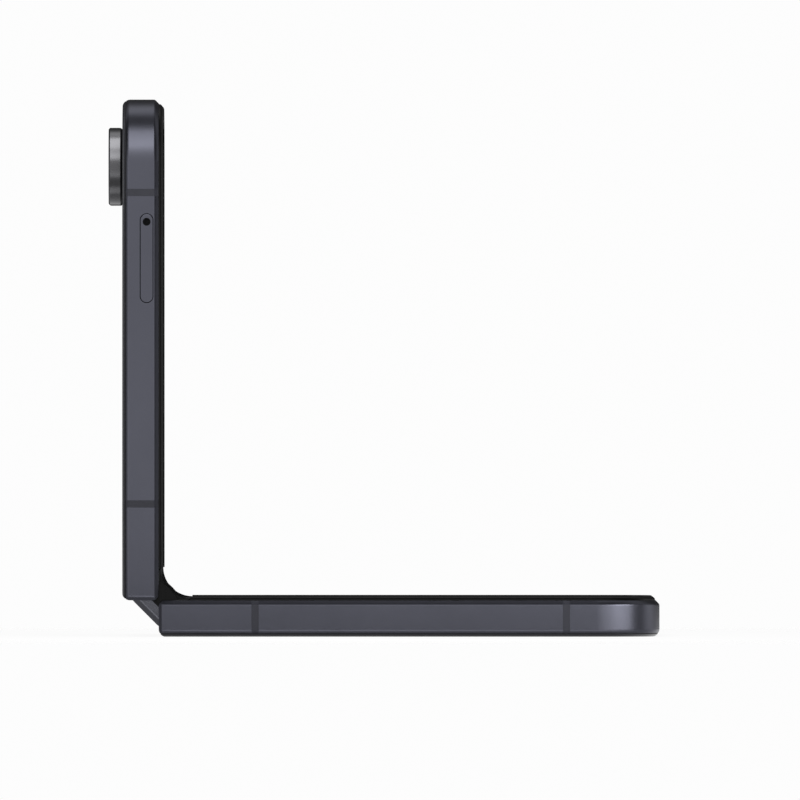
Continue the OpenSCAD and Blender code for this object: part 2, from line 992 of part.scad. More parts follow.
module lower_board_screws() color("#8a8a8a") place_lower() board_screws(lower_bosses);

module lower_hinge_arms() color("silver") place_lower() arms();

module lower_hinge_shafts() color("#9a9a9a") place_lower() main_shafts();

module lower_hinge_gears() color("#a8a49a") place_spine() main_gears(1, lower_gear_angle);

module lower_hinge_screws() color("#8a8a8a") place_lower() arm_screws();

module lower_wing_plate() color("#6f7072") place_lower() wing_plate();

// The spine

module spine_cover()
    color("#7d7e86")
        place_spine()
            difference() {
                intersection() {
                    along_y(-spine_side, spine_side)
                        spine_outline(spine_r, spine_wall_top);
                    along_x(-2 * spine_r, 2 * spine_r)
                        spine_end_outline();
                }
                along_y(-spine_side + end_wall, spine_side - end_wall)
                    spine_outline(spine_r - spine_wall, 0);
                block([-10, -body_w, spine_cap_base], [10, -spine_side + end_wall + eps, 0]);
                block([-10, spine_side - end_wall - eps, spine_cap_base], [10, body_w, 0]);
            }

module fold_side_caps()
    color("#232323")
        place_spine()
            both_sides()
                along_y(cap_inner, spine_side)
                    cap_outline();

module hinge_brackets()
    color("#8f8f92")
        place_spine()
            both_sides()
                difference() {
                    union() {
                        block(
                            [-2.2, module_y - module_half_w, spine_floor],
                            [2.2, module_y + module_half_w, spine_floor + bracket_base_t]
                        );
                        bracket_wall(-module_half_w, -module_half_w + wall_w, true);
                        bracket_wall(mid_wall_from, mid_wall_from + mid_wall_w, true);
                        bracket_wall(module_half_w - wall_w, module_half_w, false);
                    }
                    for (y = bracket_screw_y)
                        translate([0, module_y + y, spine_floor - over])
                            cylinder(h = bracket_base_t + 2 * over, r = screw_r);
                }

module bracket_screws()
    color("#8a8a8a")
        place_spine()
            both_sides()
                for (y = bracket_screw_y)
                    translate([0, module_y + y, spine_floor]) {
                        cylinder(h = bracket_base_t, r = screw_r);
                        translate([0, 0, bracket_base_t])
                            cylinder(h = 0.4, r = screw_head_r);
                    }

module hinge_springs()
    color("#b0b0b4")
        place_spine()
            both_sides()
                for (s = [-1, 1])
                    translate([s * axis_x, module_y + spring_from, axis_z])
                        coil(7, spring_to - spring_from, 0.74, 0.15);

module lower_idler_gears() color("#b8b09a") place_spine() idler_gears(1, lower_idler_angle);

module upper_idler_gears() color("#b8b09a") place_spine() idler_gears(-1, upper_idler_angle);

module lower_fold_display()
    color("black")
        place_spine()
            intersection() {
                fold_arc();
                fold_wedge(1);
            }

module upper_fold_display()
    color("black")
        place_spine()
            intersection() {
                fold_arc();
                fold_wedge(-1);
            }

// Half of the cable's path: a plug, a straight run, and an eighth of a circle in the fold
module cable_half() {
    middle_x = cable_top - cable_t + half_dz - half_dx + cable_bend_r;
    block([middle_x, -cable_w / 2, cable_top - cable_t], [cable_end_x + eps, cable_w / 2, cable_top]);
    block([cable_end_x, -cable_w / 2, plate_bottom - 0.8], [cable_plug_x, cable_w / 2, plate_bottom]);
    translate([middle_x, 0, cable_top - cable_t + cable_bend_r])
        rotate([90, 0, 0])
            rotate_extrude(angle = tilt + 1, start = -91 - tilt)
                translate([cable_bend_r - cable_t, -cable_w / 2])
                    square([cable_t, cable_w]);
}

module hinge_flex_cable()
    color("#c98a2b") {
        place_lower() cable_half();
        place_upper() cable_half();
    }

// The upper half, which stands

module upper_frame()
    color(metal)
        place_upper()
            difference() {
                frame_shell(upper_bosses);
                key_slot(volume_x, volume_len);
                key_slot(power_x, power_len);
                translate([tray_x, -side + rail_t + over, -tray_depth])
                    rotate([90, 0, 0])
                        linear_extrude(rail_t + 2 * over)
                            slot(tray_len + 2 * key_gap, tray_w + 2 * key_gap);
                translate([selfie_x, 0, plate_bottom - over])
                    cylinder(h = plate_t + 2 * over, r = selfie_r);
                block(
                    [free_end - 1.95, -4.5, plate_bottom - over],
                    [free_end - 1.95 + slit_w, 4.5, over]
                );
            }

module upper_back_glass()
    color("#2c2d33")
        place_upper()
            difference() {
                back_glass();
                camera_places()
                    translate([0, 0, back - over])
                        cylinder(h = glass_t + 2 * over, r = ring_neck_r);
                translate([camera_x, flash_y, back - over])
                    cylinder(h = glass_t + 2 * over, r = flash_r);
            }

module cover_display()
    color("black")
        place_upper()
            block([hollow_fold + 1.5, -cover_side, glass_top], [camera_x - ring_r - 2, cover_side, glass_top + 0.3]);

module camera_rings()
    color("#6a6b72")
        place_upper()
            camera_places()
                rotate_extrude()
                    polygon([
                        [ring_bore_r, camera_face],
                        [ring_r - 0.25, camera_face],
                        [ring_r, camera_face + 0.22],
                        [ring_r, back - 0.6],
                        [ring_r - 0.33, back - 0.15],
                        [ring_neck_r, back - 0.1],
                        [ring_neck_r, ring_bottom],
                        [barrel_r, ring_bottom],
                        [barrel_r, barrel_bottom],
                        [ring_bore_r, barrel_bottom]
                    ]);

module camera_lenses()
    color("#101216")
        place_upper()
            camera_places()
                translate([0, 0, camera_face + lens_sink])
                    cylinder(h = lens_t, r = ring_bore_r);

module camera_modules()
    color("#1a1a1c")
        place_upper()
            camera_places() {
                difference() {
                    translate([0, 0, barrel_bottom])
                        cylinder(h = ring_bottom - barrel_bottom + eps, r = barrel_r - 0.05);
                    translate([0, 0, barrel_bottom - over])
                        cylinder(h = over + 0.8, r1 = 4.6, r2 = 2.2);
                }
                block([-camera_box / 2, -camera_box / 2, ring_bottom], [camera_box / 2, camera_box / 2, plate_bottom]);
            }

module flash_window()
    color("#e8e2c8")
        place_upper()
            translate([camera_x, flash_y, back])
                cylinder(h = glass_t + 0.4, r = flash_r);

module upper_rim()
    color(screen_colour)
        place_upper()
            difference() {
                rim_ring();
                block([free_end - 1.95, -4.5, -over], [free_end - 1.95 + slit_w, 4.5, over]);
            }

module upper_antenna_strips() color(strip_colour) place_upper() antenna_strips();

module upper_display()
    color("black")
        place_upper()
            difference() {
                stiff_panel();
                translate([selfie_x, 0, -over])
                    cylinder(h = 2 * over, r = selfie_r);
            }

module upper_battery() color("#3a3a3c") place_upper() battery(upper_battery_len);

module main_board()
    color("#1f5a3a")
        place_upper()
            difference() {
                translate([0, 0, board_bottom])
                    linear_extrude(board_t)
                        plan(upper_board_from, board_free, board_side, board_corner);
                camera_places()
                    translate([0, 0, board_bottom])
                        cube([camera_box + 0.6, camera_box + 0.6, 3 * over], center = true);
                block(
                    [selfie_x - selfie_box / 2 - 0.2, -5.6, board_bottom - over],
                    [free_end, 5.6, 0]
                );
                board_holes(upper_bosses);
            }

module shield_cans()
    color("#a9abb0")
        place_upper() {
            block(
                [upper_board_from + can_ends[0][0], -can_side, board_bottom - can_t],
                [upper_board_from + can_ends[0][1], -can_inner[0], board_bottom]
            );
            block(
                [upper_board_from + can_ends[1][0], can_inner[1], board_bottom - can_t],
                [upper_board_from + can_ends[1][1], can_side, board_bottom]
            );
        }

module selfie_camera()
    color("#15161a")
        place_upper()
            translate([selfie_x, 0, 0]) {
                block([-selfie_box / 2, -selfie_box / 2, board_top], [selfie_box / 2, selfie_box / 2, plate_bottom]);
                translate([0, 0, plate_bottom - eps])
                    cylinder(h = screen_h - plate_bottom - 0.02, r = selfie_r - 0.05);
            }

module earpiece_speaker()
    color("#222222")
        place_upper()
            block(
                [selfie_x + selfie_box / 2 + 0.15, -5, plate_bottom - 1.8],
                [hollow_free - 0.1, 5, plate_bottom]
            );

module vibration_motor()
    color("silver")
        place_upper()
            translate([upper_board_from + 27.5, -24, board_top])
                cylinder(h = board_drop - 0.15, r = 4);

module sim_reader()
    color("silver")
        place_upper()
            difference() {
                block(
                    [tray_x - tray_plate_w / 2 - 0.1 - reader_wall, -hollow_side + 0.6, board_top],
                    [tray_x + tray_plate_w / 2 + 0.1 + reader_wall, -side + tray_reach + 2, plate_bottom - 0.1]
                );
                block(
                    [tray_x - tray_plate_w / 2 - 0.1, -hollow_side, -tray_depth - tray_plate_t / 2 - 0.1],
                    [tray_x + tray_plate_w / 2 + 0.1, -side + tray_reach + 1.6, -tray_depth + tray_plate_t / 2 + 0.1]
                );
            }

module sim_tray()
    color("#66676e")
        place_upper()
            difference() {
                union() {
                    translate([tray_x, -side + rail_t, -tray_depth])
                        rotate([90, 0, 0])
                            linear_extrude(rail_t)
                                slot(tray_len, tray_w);
                    block(
                        [tray_x - tray_plate_w / 2, -side + rail_t - eps, -tray_depth - tray_plate_t / 2],
                        [tray_x + tray_plate_w / 2, -side + rail_t + tray_reach, -tray_depth + tray_plate_t / 2]
                    );
                }
                translate([tray_x - tray_card[0] / 2, -side + rail_t + 0.8, -tray_depth - over])
                    cube([tray_card[0], tray_card[1], 2 * over]);
                translate([tray_x + tray_len / 2 - 1.31, -side + rail_t - 0.4, -tray_depth])
                    rotate([90, 0, 0])
                        cylinder(h = rail_t + over, r = eject_r);
            }

module volume_key()
    color("#66676e")
        place_upper()
            key_shape(volume_x, volume_len, volume_out, 3, [-6, 6], 0.38);

module power_key()
    color("#4e4f56")
        place_upper()
            key_shape(power_x, power_len, power_out, 6, [0]);

module key_switches()
    color("#c9a227")
        place_upper()
            block(
                [power_x - 8, switch_face - 0.6, board_top - 0.6],
                [volume_x + 9, switch_face, plate_bottom]
            );

module upper_magnets() color("silver") place_upper() magnets();

module upper_board_screws() color("#8a8a8a") place_upper() board_screws(upper_bosses);

module upper_hinge_arms() color("silver") place_upper() arms();

module upper_hinge_shafts() color("#9a9a9a") place_upper() main_shafts();

module upper_hinge_gears() color("#a8a49a") place_spine() main_gears(-1, upper_gear_angle);

module upper_hinge_screws() color("#8a8a8a") place_upper() arm_screws();

module upper_wing_plate() color("#6f7072") place_upper() wing_plate();

lower_frame();
lower_back_glass();
lower_rim();
lower_antenna_strips();
lower_display();
lower_battery();
charging_coil();
sub_board();
usb_port_shell();
usb_port_tongue();
main_speaker();
bottom_microphone();
lower_magnets();
lower_board_screws();
lower_hinge_arms();
lower_hinge_shafts();
lower_hinge_gears();
lower_hinge_screws();
lower_wing_plate();
spine_cover();
fold_side_caps();
hinge_brackets();
bracket_screws();
hinge_springs();
lower_idler_gears();
upper_idler_gears();
lower_fold_display();
upper_fold_display();
hinge_flex_cable();
upper_frame();
upper_back_glass();
cover_display();
camera_rings();
camera_lenses();
camera_modules();
flash_window();
upper_rim();
upper_antenna_strips();
upper_display();
upper_battery();
main_board();
shield_cans();
selfie_camera();
earpiece_speaker();
vibration_motor();
sim_reader();
sim_tray();
volume_key();
power_key();
key_switches();
upper_magnets();
upper_board_screws();
upper_hinge_arms();
upper_hinge_shafts();
upper_hinge_gears();
upper_hinge_screws();
upper_wing_plate();
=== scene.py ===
"""A clamshell phone with a folding screen, half open at a right angle, dressed over its CAD frame."""

import math
import re

import bmesh
import bpy
from bpy.props import FloatProperty, FloatVectorProperty, IntProperty, PointerProperty
from mathutils import Matrix, Vector


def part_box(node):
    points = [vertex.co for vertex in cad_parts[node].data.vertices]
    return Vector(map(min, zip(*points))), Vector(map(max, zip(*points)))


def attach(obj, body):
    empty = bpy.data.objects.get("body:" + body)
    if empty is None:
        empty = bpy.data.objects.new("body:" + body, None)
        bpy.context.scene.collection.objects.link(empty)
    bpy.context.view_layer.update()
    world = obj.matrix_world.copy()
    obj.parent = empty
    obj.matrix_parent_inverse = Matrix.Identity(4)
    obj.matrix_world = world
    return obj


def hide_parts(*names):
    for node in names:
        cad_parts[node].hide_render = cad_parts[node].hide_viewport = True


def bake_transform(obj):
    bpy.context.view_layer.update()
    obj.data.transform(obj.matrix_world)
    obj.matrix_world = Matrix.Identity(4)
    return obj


bl_info = {
    "name": "Folding phone",
    "version": (1, 0, 0),
    "blender": (4, 5, 0),
    "location": "View3D > Sidebar > Phone",
    "description": "Builds a folding phone, its finishes and its studio over the CAD frame",
    "category": "Object",
}

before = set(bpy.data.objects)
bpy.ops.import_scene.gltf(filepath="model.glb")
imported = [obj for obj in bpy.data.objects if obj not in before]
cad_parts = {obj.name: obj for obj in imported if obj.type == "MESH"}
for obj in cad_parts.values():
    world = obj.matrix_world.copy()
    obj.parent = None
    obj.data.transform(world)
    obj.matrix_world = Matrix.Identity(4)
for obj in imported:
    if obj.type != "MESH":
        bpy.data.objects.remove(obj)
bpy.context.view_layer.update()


def mm(value):
    """A size in metres as millimetres, which the shapes are drawn in."""
    return value * 1000


# Places of the two halves and of the spine, in millimetres, as the CAD has them
FOLD_END = 0.12
HALF_DX, HALF_DZ = -1.52716, -1.43552
LOW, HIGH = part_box("lower_frame")
SPINE_X = mm(LOW[0]) - HALF_DX - FOLD_END
SPINE_Y = mm(LOW[1] + HIGH[1]) / 2
SPINE_Z = mm(HIGH[2]) - HALF_DZ
TURN = math.sqrt(0.5)
PLACES = {
    "lower": ((1, 0, 0, SPINE_X + HALF_DX), (0, 1, 0, SPINE_Y), (0, 0, 1, SPINE_Z + HALF_DZ)),
    "upper": ((0, 0, 1, SPINE_X + HALF_DZ), (0, 1, 0, SPINE_Y), (1, 0, 0, SPINE_Z + HALF_DX)),
    "spine": ((TURN, 0, TURN, SPINE_X), (0, 1, 0, SPINE_Y), (-TURN, 0, TURN, SPINE_Z)),
}
BODIES = {"lower": "lower_half", "upper": "upper_half", "spine": "spine"}
HALVES = ("lower", "upper")

# Sizes that follow from how the halves meet, in millimetres
AXIS_X, AXIS_Z = 2.4964, -1.1257
BEND_X = 5.3217
BEND_END_X = 3.4507
ARC_R, ARC_Z = 4.88, 5.3663
TINY = 1e-4

# Layers and edges of a half that no property sets, in millimetres
BACK_FACE_SOFT, FRONT_FACE_SOFT = 0.34, 0.08
PANEL, PLATE = 0.6, 0.8
SEAM, SEAM_INSET = 0.14, 0.3
UNDER_RIM, UNDER_FREE_RIM = 0.5, 0.65
HOLLOW_X, RECESS_X = 8.5, 5.5
RECESS_CORNER, SCREEN_CORNER = 2, 8.2
INSIDE_STEPS = 16

# Places by their distance from the free end, from the middle or from the inner plane, in millimetres
STRIPS_FROM_FOLD, STRIPS_FROM_FREE, STRIP_DEPTH = 16, 15.5, 0.8
FLASH_GAP, EYE_FROM_FREE = 4.6, 6.6
TRAY_FROM_FREE, TRAY_Z, EJECT_FROM_END = 26.4, -1.98, 1.31
VOLUME_FROM_FREE, POWER_FROM_FREE, KEY_Z = 30, 50.5, -2.55
SLIT_FROM_FREE, SLIT_WIDTH, SLIT_REACH = 1.95, 0.3, 4.5
SOUND_HOLE, SOUND_FIRST, SOUND_PITCH, MICROPHONE_Y = 0.5, -12, 1.9, 9
SOCKET_DEPTH, SOCKET_WALL, TONGUE_BACK = 6.8, 0.3, 0.8
CONTACTS, CONTACT_FIRST, CONTACT_PITCH = 12, -2.75, 0.5

# Sizes of what folds, and of the spine, in millimetres
FOLD_THICKNESS, CREASE_REACH = 0.25, 2.2
GUARD_INNER, GUARD_OUTER = 0.35, 0.08
RIBBON_REACH, RIBBON_DEPTH, RIBBON_THICKNESS = 4, 0.12, 0.16
SPINE_FLOOR, SPINE_TOP, SPINE_SOFT, CAP_SEAT = -2.81, -2.15, 0.24, 1.05

# The angle from which an edge is shown sharp, in degrees
SHARP_ANGLE = 32


# Properties


def length(name, description, default):
    return FloatProperty(
        name=name, description=description, default=default, unit="LENGTH", precision=5
    )


def colour(name, description, default):
    return FloatVectorProperty(
        name=name, description=description, default=default, subtype="COLOR", min=0, max=1
    )


class PhoneBody(bpy.types.PropertyGroup):
    half: length("Half length", "Length of each half from the fold to its free end", 0.0832)
    width: length("Width", "Width across the side rails", 0.0752)
    depth: length("Depth", "Depth of a half from its back to its inner plane", 0.00603)
    glass: length("Back glass", "Thickness of the back glass with its seam", 0.0006)
    corner: length("Corner", "Corner radius at the free ends", 0.0105)
    back_bevel: length("Back bevel", "Bevel along the back edge", 0.00074)
    back_soft: length("Back softening", "Softening where the back bevel meets the side", 0.0005)
    front_bevel: length("Front bevel", "Bevel along the front edge", 0.00066)
    front_soft: length("Front softening", "Softening where the front bevel meets the side", 0.0002)
    fold_bevel: length("Fold bevel", "Bevel at the fold end of the side rails", 0.00048)
    rail: length("Rail", "Thickness of the rails round the hollow", 0.0016)
    strip: length("Antenna strip", "Width of an antenna strip", 0.0012)
    corner_steps: IntProperty(
        name="Corner steps", description="Facets round a corner of a half", default=28, min=4, max=64
    )


class PhoneScreen(bpy.types.PropertyGroup):
    screen: length("Screen height", "Height of the screen over the inner plane", 0.00035)
    rim_top: length("Rim height", "Height of the raised rim over the inner plane", 0.00055)
    rim_inset: length("Rim inset", "Distance from the side of a half to the rim", 0.00075)
    rim_width: length("Rim width", "Width of the raised rim", 0.00195)
    rim_round: length("Rim rounding", "Rounding of the rim's outer edge", 0.00045)
    eye: length("Front camera", "Radius of the front camera's window", 0.0018)
    crease: length("Crease", "Depth of the crease when the phone lies open", 0.0002)


class PhoneHinge(bpy.types.PropertyGroup):
    spine: length("Spine radius", "Outer radius of the spine about each fold axis", 0.00395)
    spine_wall: length("Spine wall", "Wall of the spine cover", 0.0009)
    end_round: length("Spine ends", "Bevel of the ends of the spine", 0.00085)
    bay_gap: length("Running gap", "Gap between the spine and each half", 0.0001)
    side_rail: length("Side rail", "Thickness of a rail beside the spine", 0.0009)


class PhoneCameras(bpy.types.PropertyGroup):
    ring: length("Ring radius", "Outer radius of a camera ring", 0.006475)
    proud: length("Ring height", "Height of a camera ring over the back glass", 0.0026)
    neck: length("Neck radius", "Radius of the neck where a ring leaves the glass", 0.00603)
    window: length("Window radius", "Radius of the glass in a ring", 0.0053)
    from_end: length("From the end", "Distance of the cameras from the free end", 0.0109)
    from_side: length("From the side", "Distance of the outer camera from the side", 0.0112)
    pitch: length("Pitch", "Distance between the cameras", 0.0166)
    flash: length("Flash radius", "Radius of the flash window", 0.002)


class PhoneControls(bpy.types.PropertyGroup):
    tray: length("Card tray", "Length of the card tray's face", 0.0147)
    tray_width: length("Card tray width", "Width of the card tray's face", 0.00207)
    eject: length("Eject hole", "Radius of the eject hole", 0.00066)
    volume: length("Volume key", "Length of the volume key", 0.017)
    power: length("Power key", "Length of the power key", 0.0136)
    key_width: length("Key width", "Width of both keys", 0.002)
    gap: length("Gap", "Gap round a key and round the card tray", 0.0001)
    port: length("Socket", "Width of the charging socket", 0.0091)
    port_height: length("Socket height", "Height of the charging socket", 0.0033)


class PhoneFinishes(bpy.types.PropertyGroup):
    metal: colour("Frame metal", "Anodised metal of the rails", (0.0945, 0.0965, 0.119))
    strips: colour("Antenna strips", "Plastic of the antenna strips", (0.045, 0.046, 0.06))
    glass: colour("Back glass", "Satin glass of the backs", (0.03, 0.031, 0.04))
    rim: colour("Rim", "Soft plastic of the screen's rim", (0.009, 0.009, 0.009))
    screen: colour("Screen", "Glass of the dark screen", (0.0035, 0.0035, 0.0042))
    spine: colour("Spine", "Metal of the spine cover", (0.115, 0.117, 0.135))
    cap: colour("Side caps", "Plastic of the caps beside the fold", (0.009, 0.009, 0.009))
    ring: colour("Camera rings", "Turned metal of the camera rings", (0.125, 0.125, 0.132))


class PhoneStudio(bpy.types.PropertyGroup):
    lens: FloatProperty(
        name="Lens", description="Focal length of the camera, long as in the photograph",
        default=1700, min=50, max=1700,
    )
    view_width: length("View width", "Width that the picture covers at the near side", 0.1328)
    centre_x: length("Centre across", "Middle of the picture along the lower half", 0.002786)
    centre_z: length("Centre up", "Middle of the picture above the floor", 0.03931)
    floor: length("Floor radius", "Radius at which the floor has faded out", 0.24)


GROUPS = {
    "phone_body": PhoneBody,
    "phone_screen": PhoneScreen,
    "phone_hinge": PhoneHinge,
    "phone_cameras": PhoneCameras,
    "phone_controls": PhoneControls,
    "phone_finishes": PhoneFinishes,
    "phone_studio": PhoneStudio,
}

# The groups whose sizes the plan takes
SIZES = ("phone_body", "phone_screen", "phone_hinge", "phone_cameras", "phone_controls")


class Plan:
    """Each size in millimetres, by its property's name, and the places that follow from the sizes."""

    def __init__(self, scene):
        for name in SIZES:
            for field in GROUPS[name].__annotations__:
                setattr(self, field, mm(getattr(getattr(scene, name), field)))
        self.steps = scene.phone_body.corner_steps
        self.side = self.width / 2
        self.free = FOLD_END + self.half
        self.back = -self.depth
        self.glass_top = self.back + self.glass
        self.back_edge = (self.back_bevel, self.back_soft, BACK_FACE_SOFT)
        self.front_edge = (self.front_bevel, self.front_soft, FRONT_FACE_SOFT)
        self.panel_bottom = self.screen - PANEL
        self.plate_bottom = self.panel_bottom - PLATE
        self.rim_outer = self.side - self.rim_inset
        self.rim_inner = self.rim_outer - self.rim_width
        self.rim_free = self.free - self.rim_inset
        self.screen_side = self.rim_inner + UNDER_RIM
        self.screen_free = self.rim_free - self.rim_width + UNDER_FREE_RIM
        self.bay = self.spine + self.bay_gap
        self.bay_side = self.side - self.side_rail
        self.spine_side = self.bay_side - self.bay_gap
        self.camera_x = self.free - self.from_end
        first = self.side - self.from_side
        self.camera_y = (first, first - self.pitch)
        self.ring_face = self.back - self.proud
        self.flash_y = self.camera_y[1] - self.ring - FLASH_GAP
        self.eye_x = self.free - EYE_FROM_FREE
        self.tray_x = self.free - TRAY_FROM_FREE
        self.volume_x = self.free - VOLUME_FROM_FREE
        self.power_x = self.free - POWER_FROM_FREE
        self.port_z = self.plate_bottom - self.port_height / 2


# Shapes, drawn in millimetres in the frame of a half or of the spine


def block(low, high):
    """A box between two opposite corners."""
    bm = bmesh.new()
    bmesh.ops.create_cube(bm, size=1)
    bmesh.ops.scale(bm, vec=[abs(h - l) for l, h in zip(low, high)], verts=bm.verts)
    bmesh.ops.translate(bm, vec=[(h + l) / 2 for l, h in zip(low, high)], verts=bm.verts)
    return bm


def chosen(bm, test):
    """The edges whose both ends pass the test."""
    return [e for e in bm.edges if all(test(v.co) for v in e.verts)]


def level(axis, value):
    """A test for points at a value along an axis."""
    return lambda p: abs(p[axis] - value) < TINY


def across(edge, axis):
    """How far an edge reaches along an axis."""
    return abs(edge.verts[0].co[axis] - edge.verts[1].co[axis])


def round_off(bm, edges, width, steps):
    """Bevels edges to a round of that width."""
    bmesh.ops.bevel(
        bm, geom=edges, offset=width, offset_type="OFFSET", affect="EDGES", segments=steps,
        profile=0.5, material=-1, clamp_overlap=False,
    )


def soft_block(low, high, width, steps=2):
    """A box with all its edges rounded."""
    bm = block(low, high)
    round_off(bm, bm.edges[:], width, steps)
    return bm


def round_corners(bm, corners, width, steps=3):
    """Rounds the corners of a flat section."""
    bmesh.ops.bevel(
        bm, geom=corners, offset=width, affect="VERTICES", segments=steps, profile=0.5, material=-1
    )


def plate(x0, x1, half_width, low, high, corner, steps):
    """A plate with two round corners at x1."""
    bm = block((x0, -half_width, low), (x1, half_width, high))
    round_off(bm, [e for e in chosen(bm, level(0, x1)) if across(e, 1) < TINY], corner, steps)
    return bm


def soft_bevel(bm, z, inwards, width, soft, face_soft):
    """Bevels the edge round a plate at z, and softens the bevel towards its sides and its face."""
    round_off(bm, chosen(bm, level(2, z)), width, 1)
    round_off(bm, chosen(bm, level(2, z + inwards * width)), soft, 5)
    round_off(bm, chosen(bm, level(2, z)), face_soft, 4)


def cut_away(bm, point, normal):
    """Removes what lies on the normal's side of a plane and closes the cut."""
    geom = bm.verts[:] + bm.edges[:] + bm.faces[:]
    bmesh.ops.bisect_plane(bm, geom=geom, dist=TINY, plane_co=point, plane_no=normal, clear_outer=True)
    bmesh.ops.holes_fill(bm, edges=[e for e in bm.edges if e.is_boundary], sides=0)
    return bm


def drawn(points, place=Vector, round_width=0):
    """A flat section through points, with rounded corners where a width is given."""
    bm = bmesh.new()
    bm.faces.new([bm.verts.new(place(point)) for point in points])
    if round_width:
        round_corners(bm, bm.verts[:], round_width)
    return bm


def drawn_out(bm, faces, way, keep=True):
    """Extrudes faces some way, and gives the faces at the new end."""
    made = bmesh.ops.extrude_face_region(bm, geom=faces, use_keep_orig=keep)["geom"]
    bmesh.ops.translate(bm, vec=way, verts=[v for v in made if isinstance(v, bmesh.types.BMVert)])
    return [f for f in made if isinstance(f, bmesh.types.BMFace)]


def bar(points, y0, y1):
    """A bar along y with a section drawn in x and z."""
    bm = drawn(points, lambda p: (p[0], y0, p[1]))
    drawn_out(bm, bm.faces[:], (0, y1 - y0, 0))
    return bm


def turned(points, at=(0, 0, 0), steps=96, ring_round=None):
    """A solid turned about the depth direction from (radius, height) points.

    The points lead from the axis to the axis, or round a ring where its rounding is given.
    """
    if ring_round is None:
        bm = bmesh.new()
        verts = [bm.verts.new((r, 0, z)) for r, z in points]
        for pair in zip(verts, verts[1:]):
            bm.edges.new(pair)
    else:
        bm = drawn(points, lambda p: (p[0], 0, p[1]), ring_round)
        bmesh.ops.delete(bm, geom=bm.faces[:], context="FACES_ONLY")
    bmesh.ops.spin(
        bm, geom=bm.verts[:] + bm.edges[:], cent=(0, 0, 0), axis=(0, 0, 1), dvec=(0, 0, 0),
        angle=2 * math.pi, steps=steps, use_merge=True, use_duplicate=False,
    )
    bmesh.ops.remove_doubles(bm, verts=bm.verts, dist=TINY)
    bmesh.ops.dissolve_degenerate(bm, edges=bm.edges, dist=TINY)
    bmesh.ops.translate(bm, vec=at, verts=bm.verts)
    return bm


def pin(radius, z0, z1, steps=48, at=(0, 0)):
    """A round pin along the depth direction."""
    bm = bmesh.new()
    bmesh.ops.create_cone(bm, cap_ends=True, segments=steps, radius1=radius, radius2=radius, depth=z1 - z0)
    bmesh.ops.translate(bm, vec=(at[0], at[1], (z0 + z1) / 2), verts=bm.verts)
    return bm


def laid(bm, *rows):
    """Turns and moves a shape by the three rows of a matrix."""
    bm.transform(Matrix((*rows, (0, 0, 0, 1))))
    return bm


def along_width(bm, x, z):
    """Lays a shape drawn about z over so that it runs along y, at x and z."""
    bm.transform(Matrix.Translation((x, 0, z)) @ Matrix.Rotation(math.pi / 2, 4, "X"))
    return bm


def through_end(bm, y, z):
    """Lays a shape drawn about z over so that it runs along x, at y and z."""
    return laid(bm, (0, 0, 1, 0), (1, 0, 0, y), (0, 1, 0, z))


def oval(long, wide, low, high, steps, face_round=0.0):
    """A slot-shaped block: a round pin drawn out along x, with its outer face rounded at high."""
    bm = bmesh.new()
    count = 4 * steps
    radius = wide / 2 / math.cos(math.pi / count)
    bmesh.ops.create_circle(bm, cap_ends=True, segments=count, radius=radius)
    bmesh.ops.rotate(bm, verts=bm.verts, matrix=Matrix.Rotation(math.pi / count, 3, "Z"))
    for side in (-1, 1):
        end = [v for v in bm.verts if v.co.x * side > 0]
        bmesh.ops.translate(bm, vec=(side * (long - wide) / 2, 0, low), verts=end)
    drawn_out(bm, bm.faces[:], (0, 0, high - low))
    if face_round:
        bmesh.ops.recalc_face_normals(bm, faces=bm.faces)
        round_off(bm, chosen(bm, level(2, high)), face_round, 3)
    return bm


def pill(long, wide, from_y, to_y, x, z, steps=8, face_round=0.0):
    """A slot-shaped block through a side rail, its length along x and its face at to_y."""
    bm = oval(long, wide, from_y, to_y, steps, face_round)
    return laid(bm, (1, 0, 0, x), (0, 0, 1, 0), (0, 1, 0, z))


def outwards(bm):
    """Turns the faces of closed shapes outwards."""
    bmesh.ops.recalc_face_normals(bm, faces=bm.faces)
    if bm.calc_volume(signed=True) < 0:
        bmesh.ops.reverse_faces(bm, faces=bm.faces)
    return bm


def painted(bm, number):
    """Gives all faces the finish of that number."""
    for face in bm.faces:
        face.material_index = number
    return bm


def joined(*parts):
    """One mesh of several closed shapes."""
    whole = bmesh.new()
    for part in parts:
        mesh = bpy.data.meshes.new("part")
        outwards(part).to_mesh(mesh)
        part.free()
        whole.from_mesh(mesh)
        bpy.data.meshes.remove(mesh)
    return whole


def on_both_sides(bm):
    """Adds a mirror image across the middle of the width."""
    geom = bm.verts[:] + bm.edges[:] + bm.faces[:]
    bmesh.ops.mirror(bm, geom=geom, matrix=Matrix.Identity(4), merge_dist=-1, axis="Y")
    return bm


def placed(name, data):
    """A new object in the scene."""
    obj = bpy.data.objects.new(name, data)
    bpy.context.collection.objects.link(obj)
    return obj


def holder(bm, name):
    """An object that holds a shape, which is used up."""
    mesh = bpy.data.meshes.new(name)
    bm.to_mesh(mesh)
    bm.free()
    return placed(name, mesh)


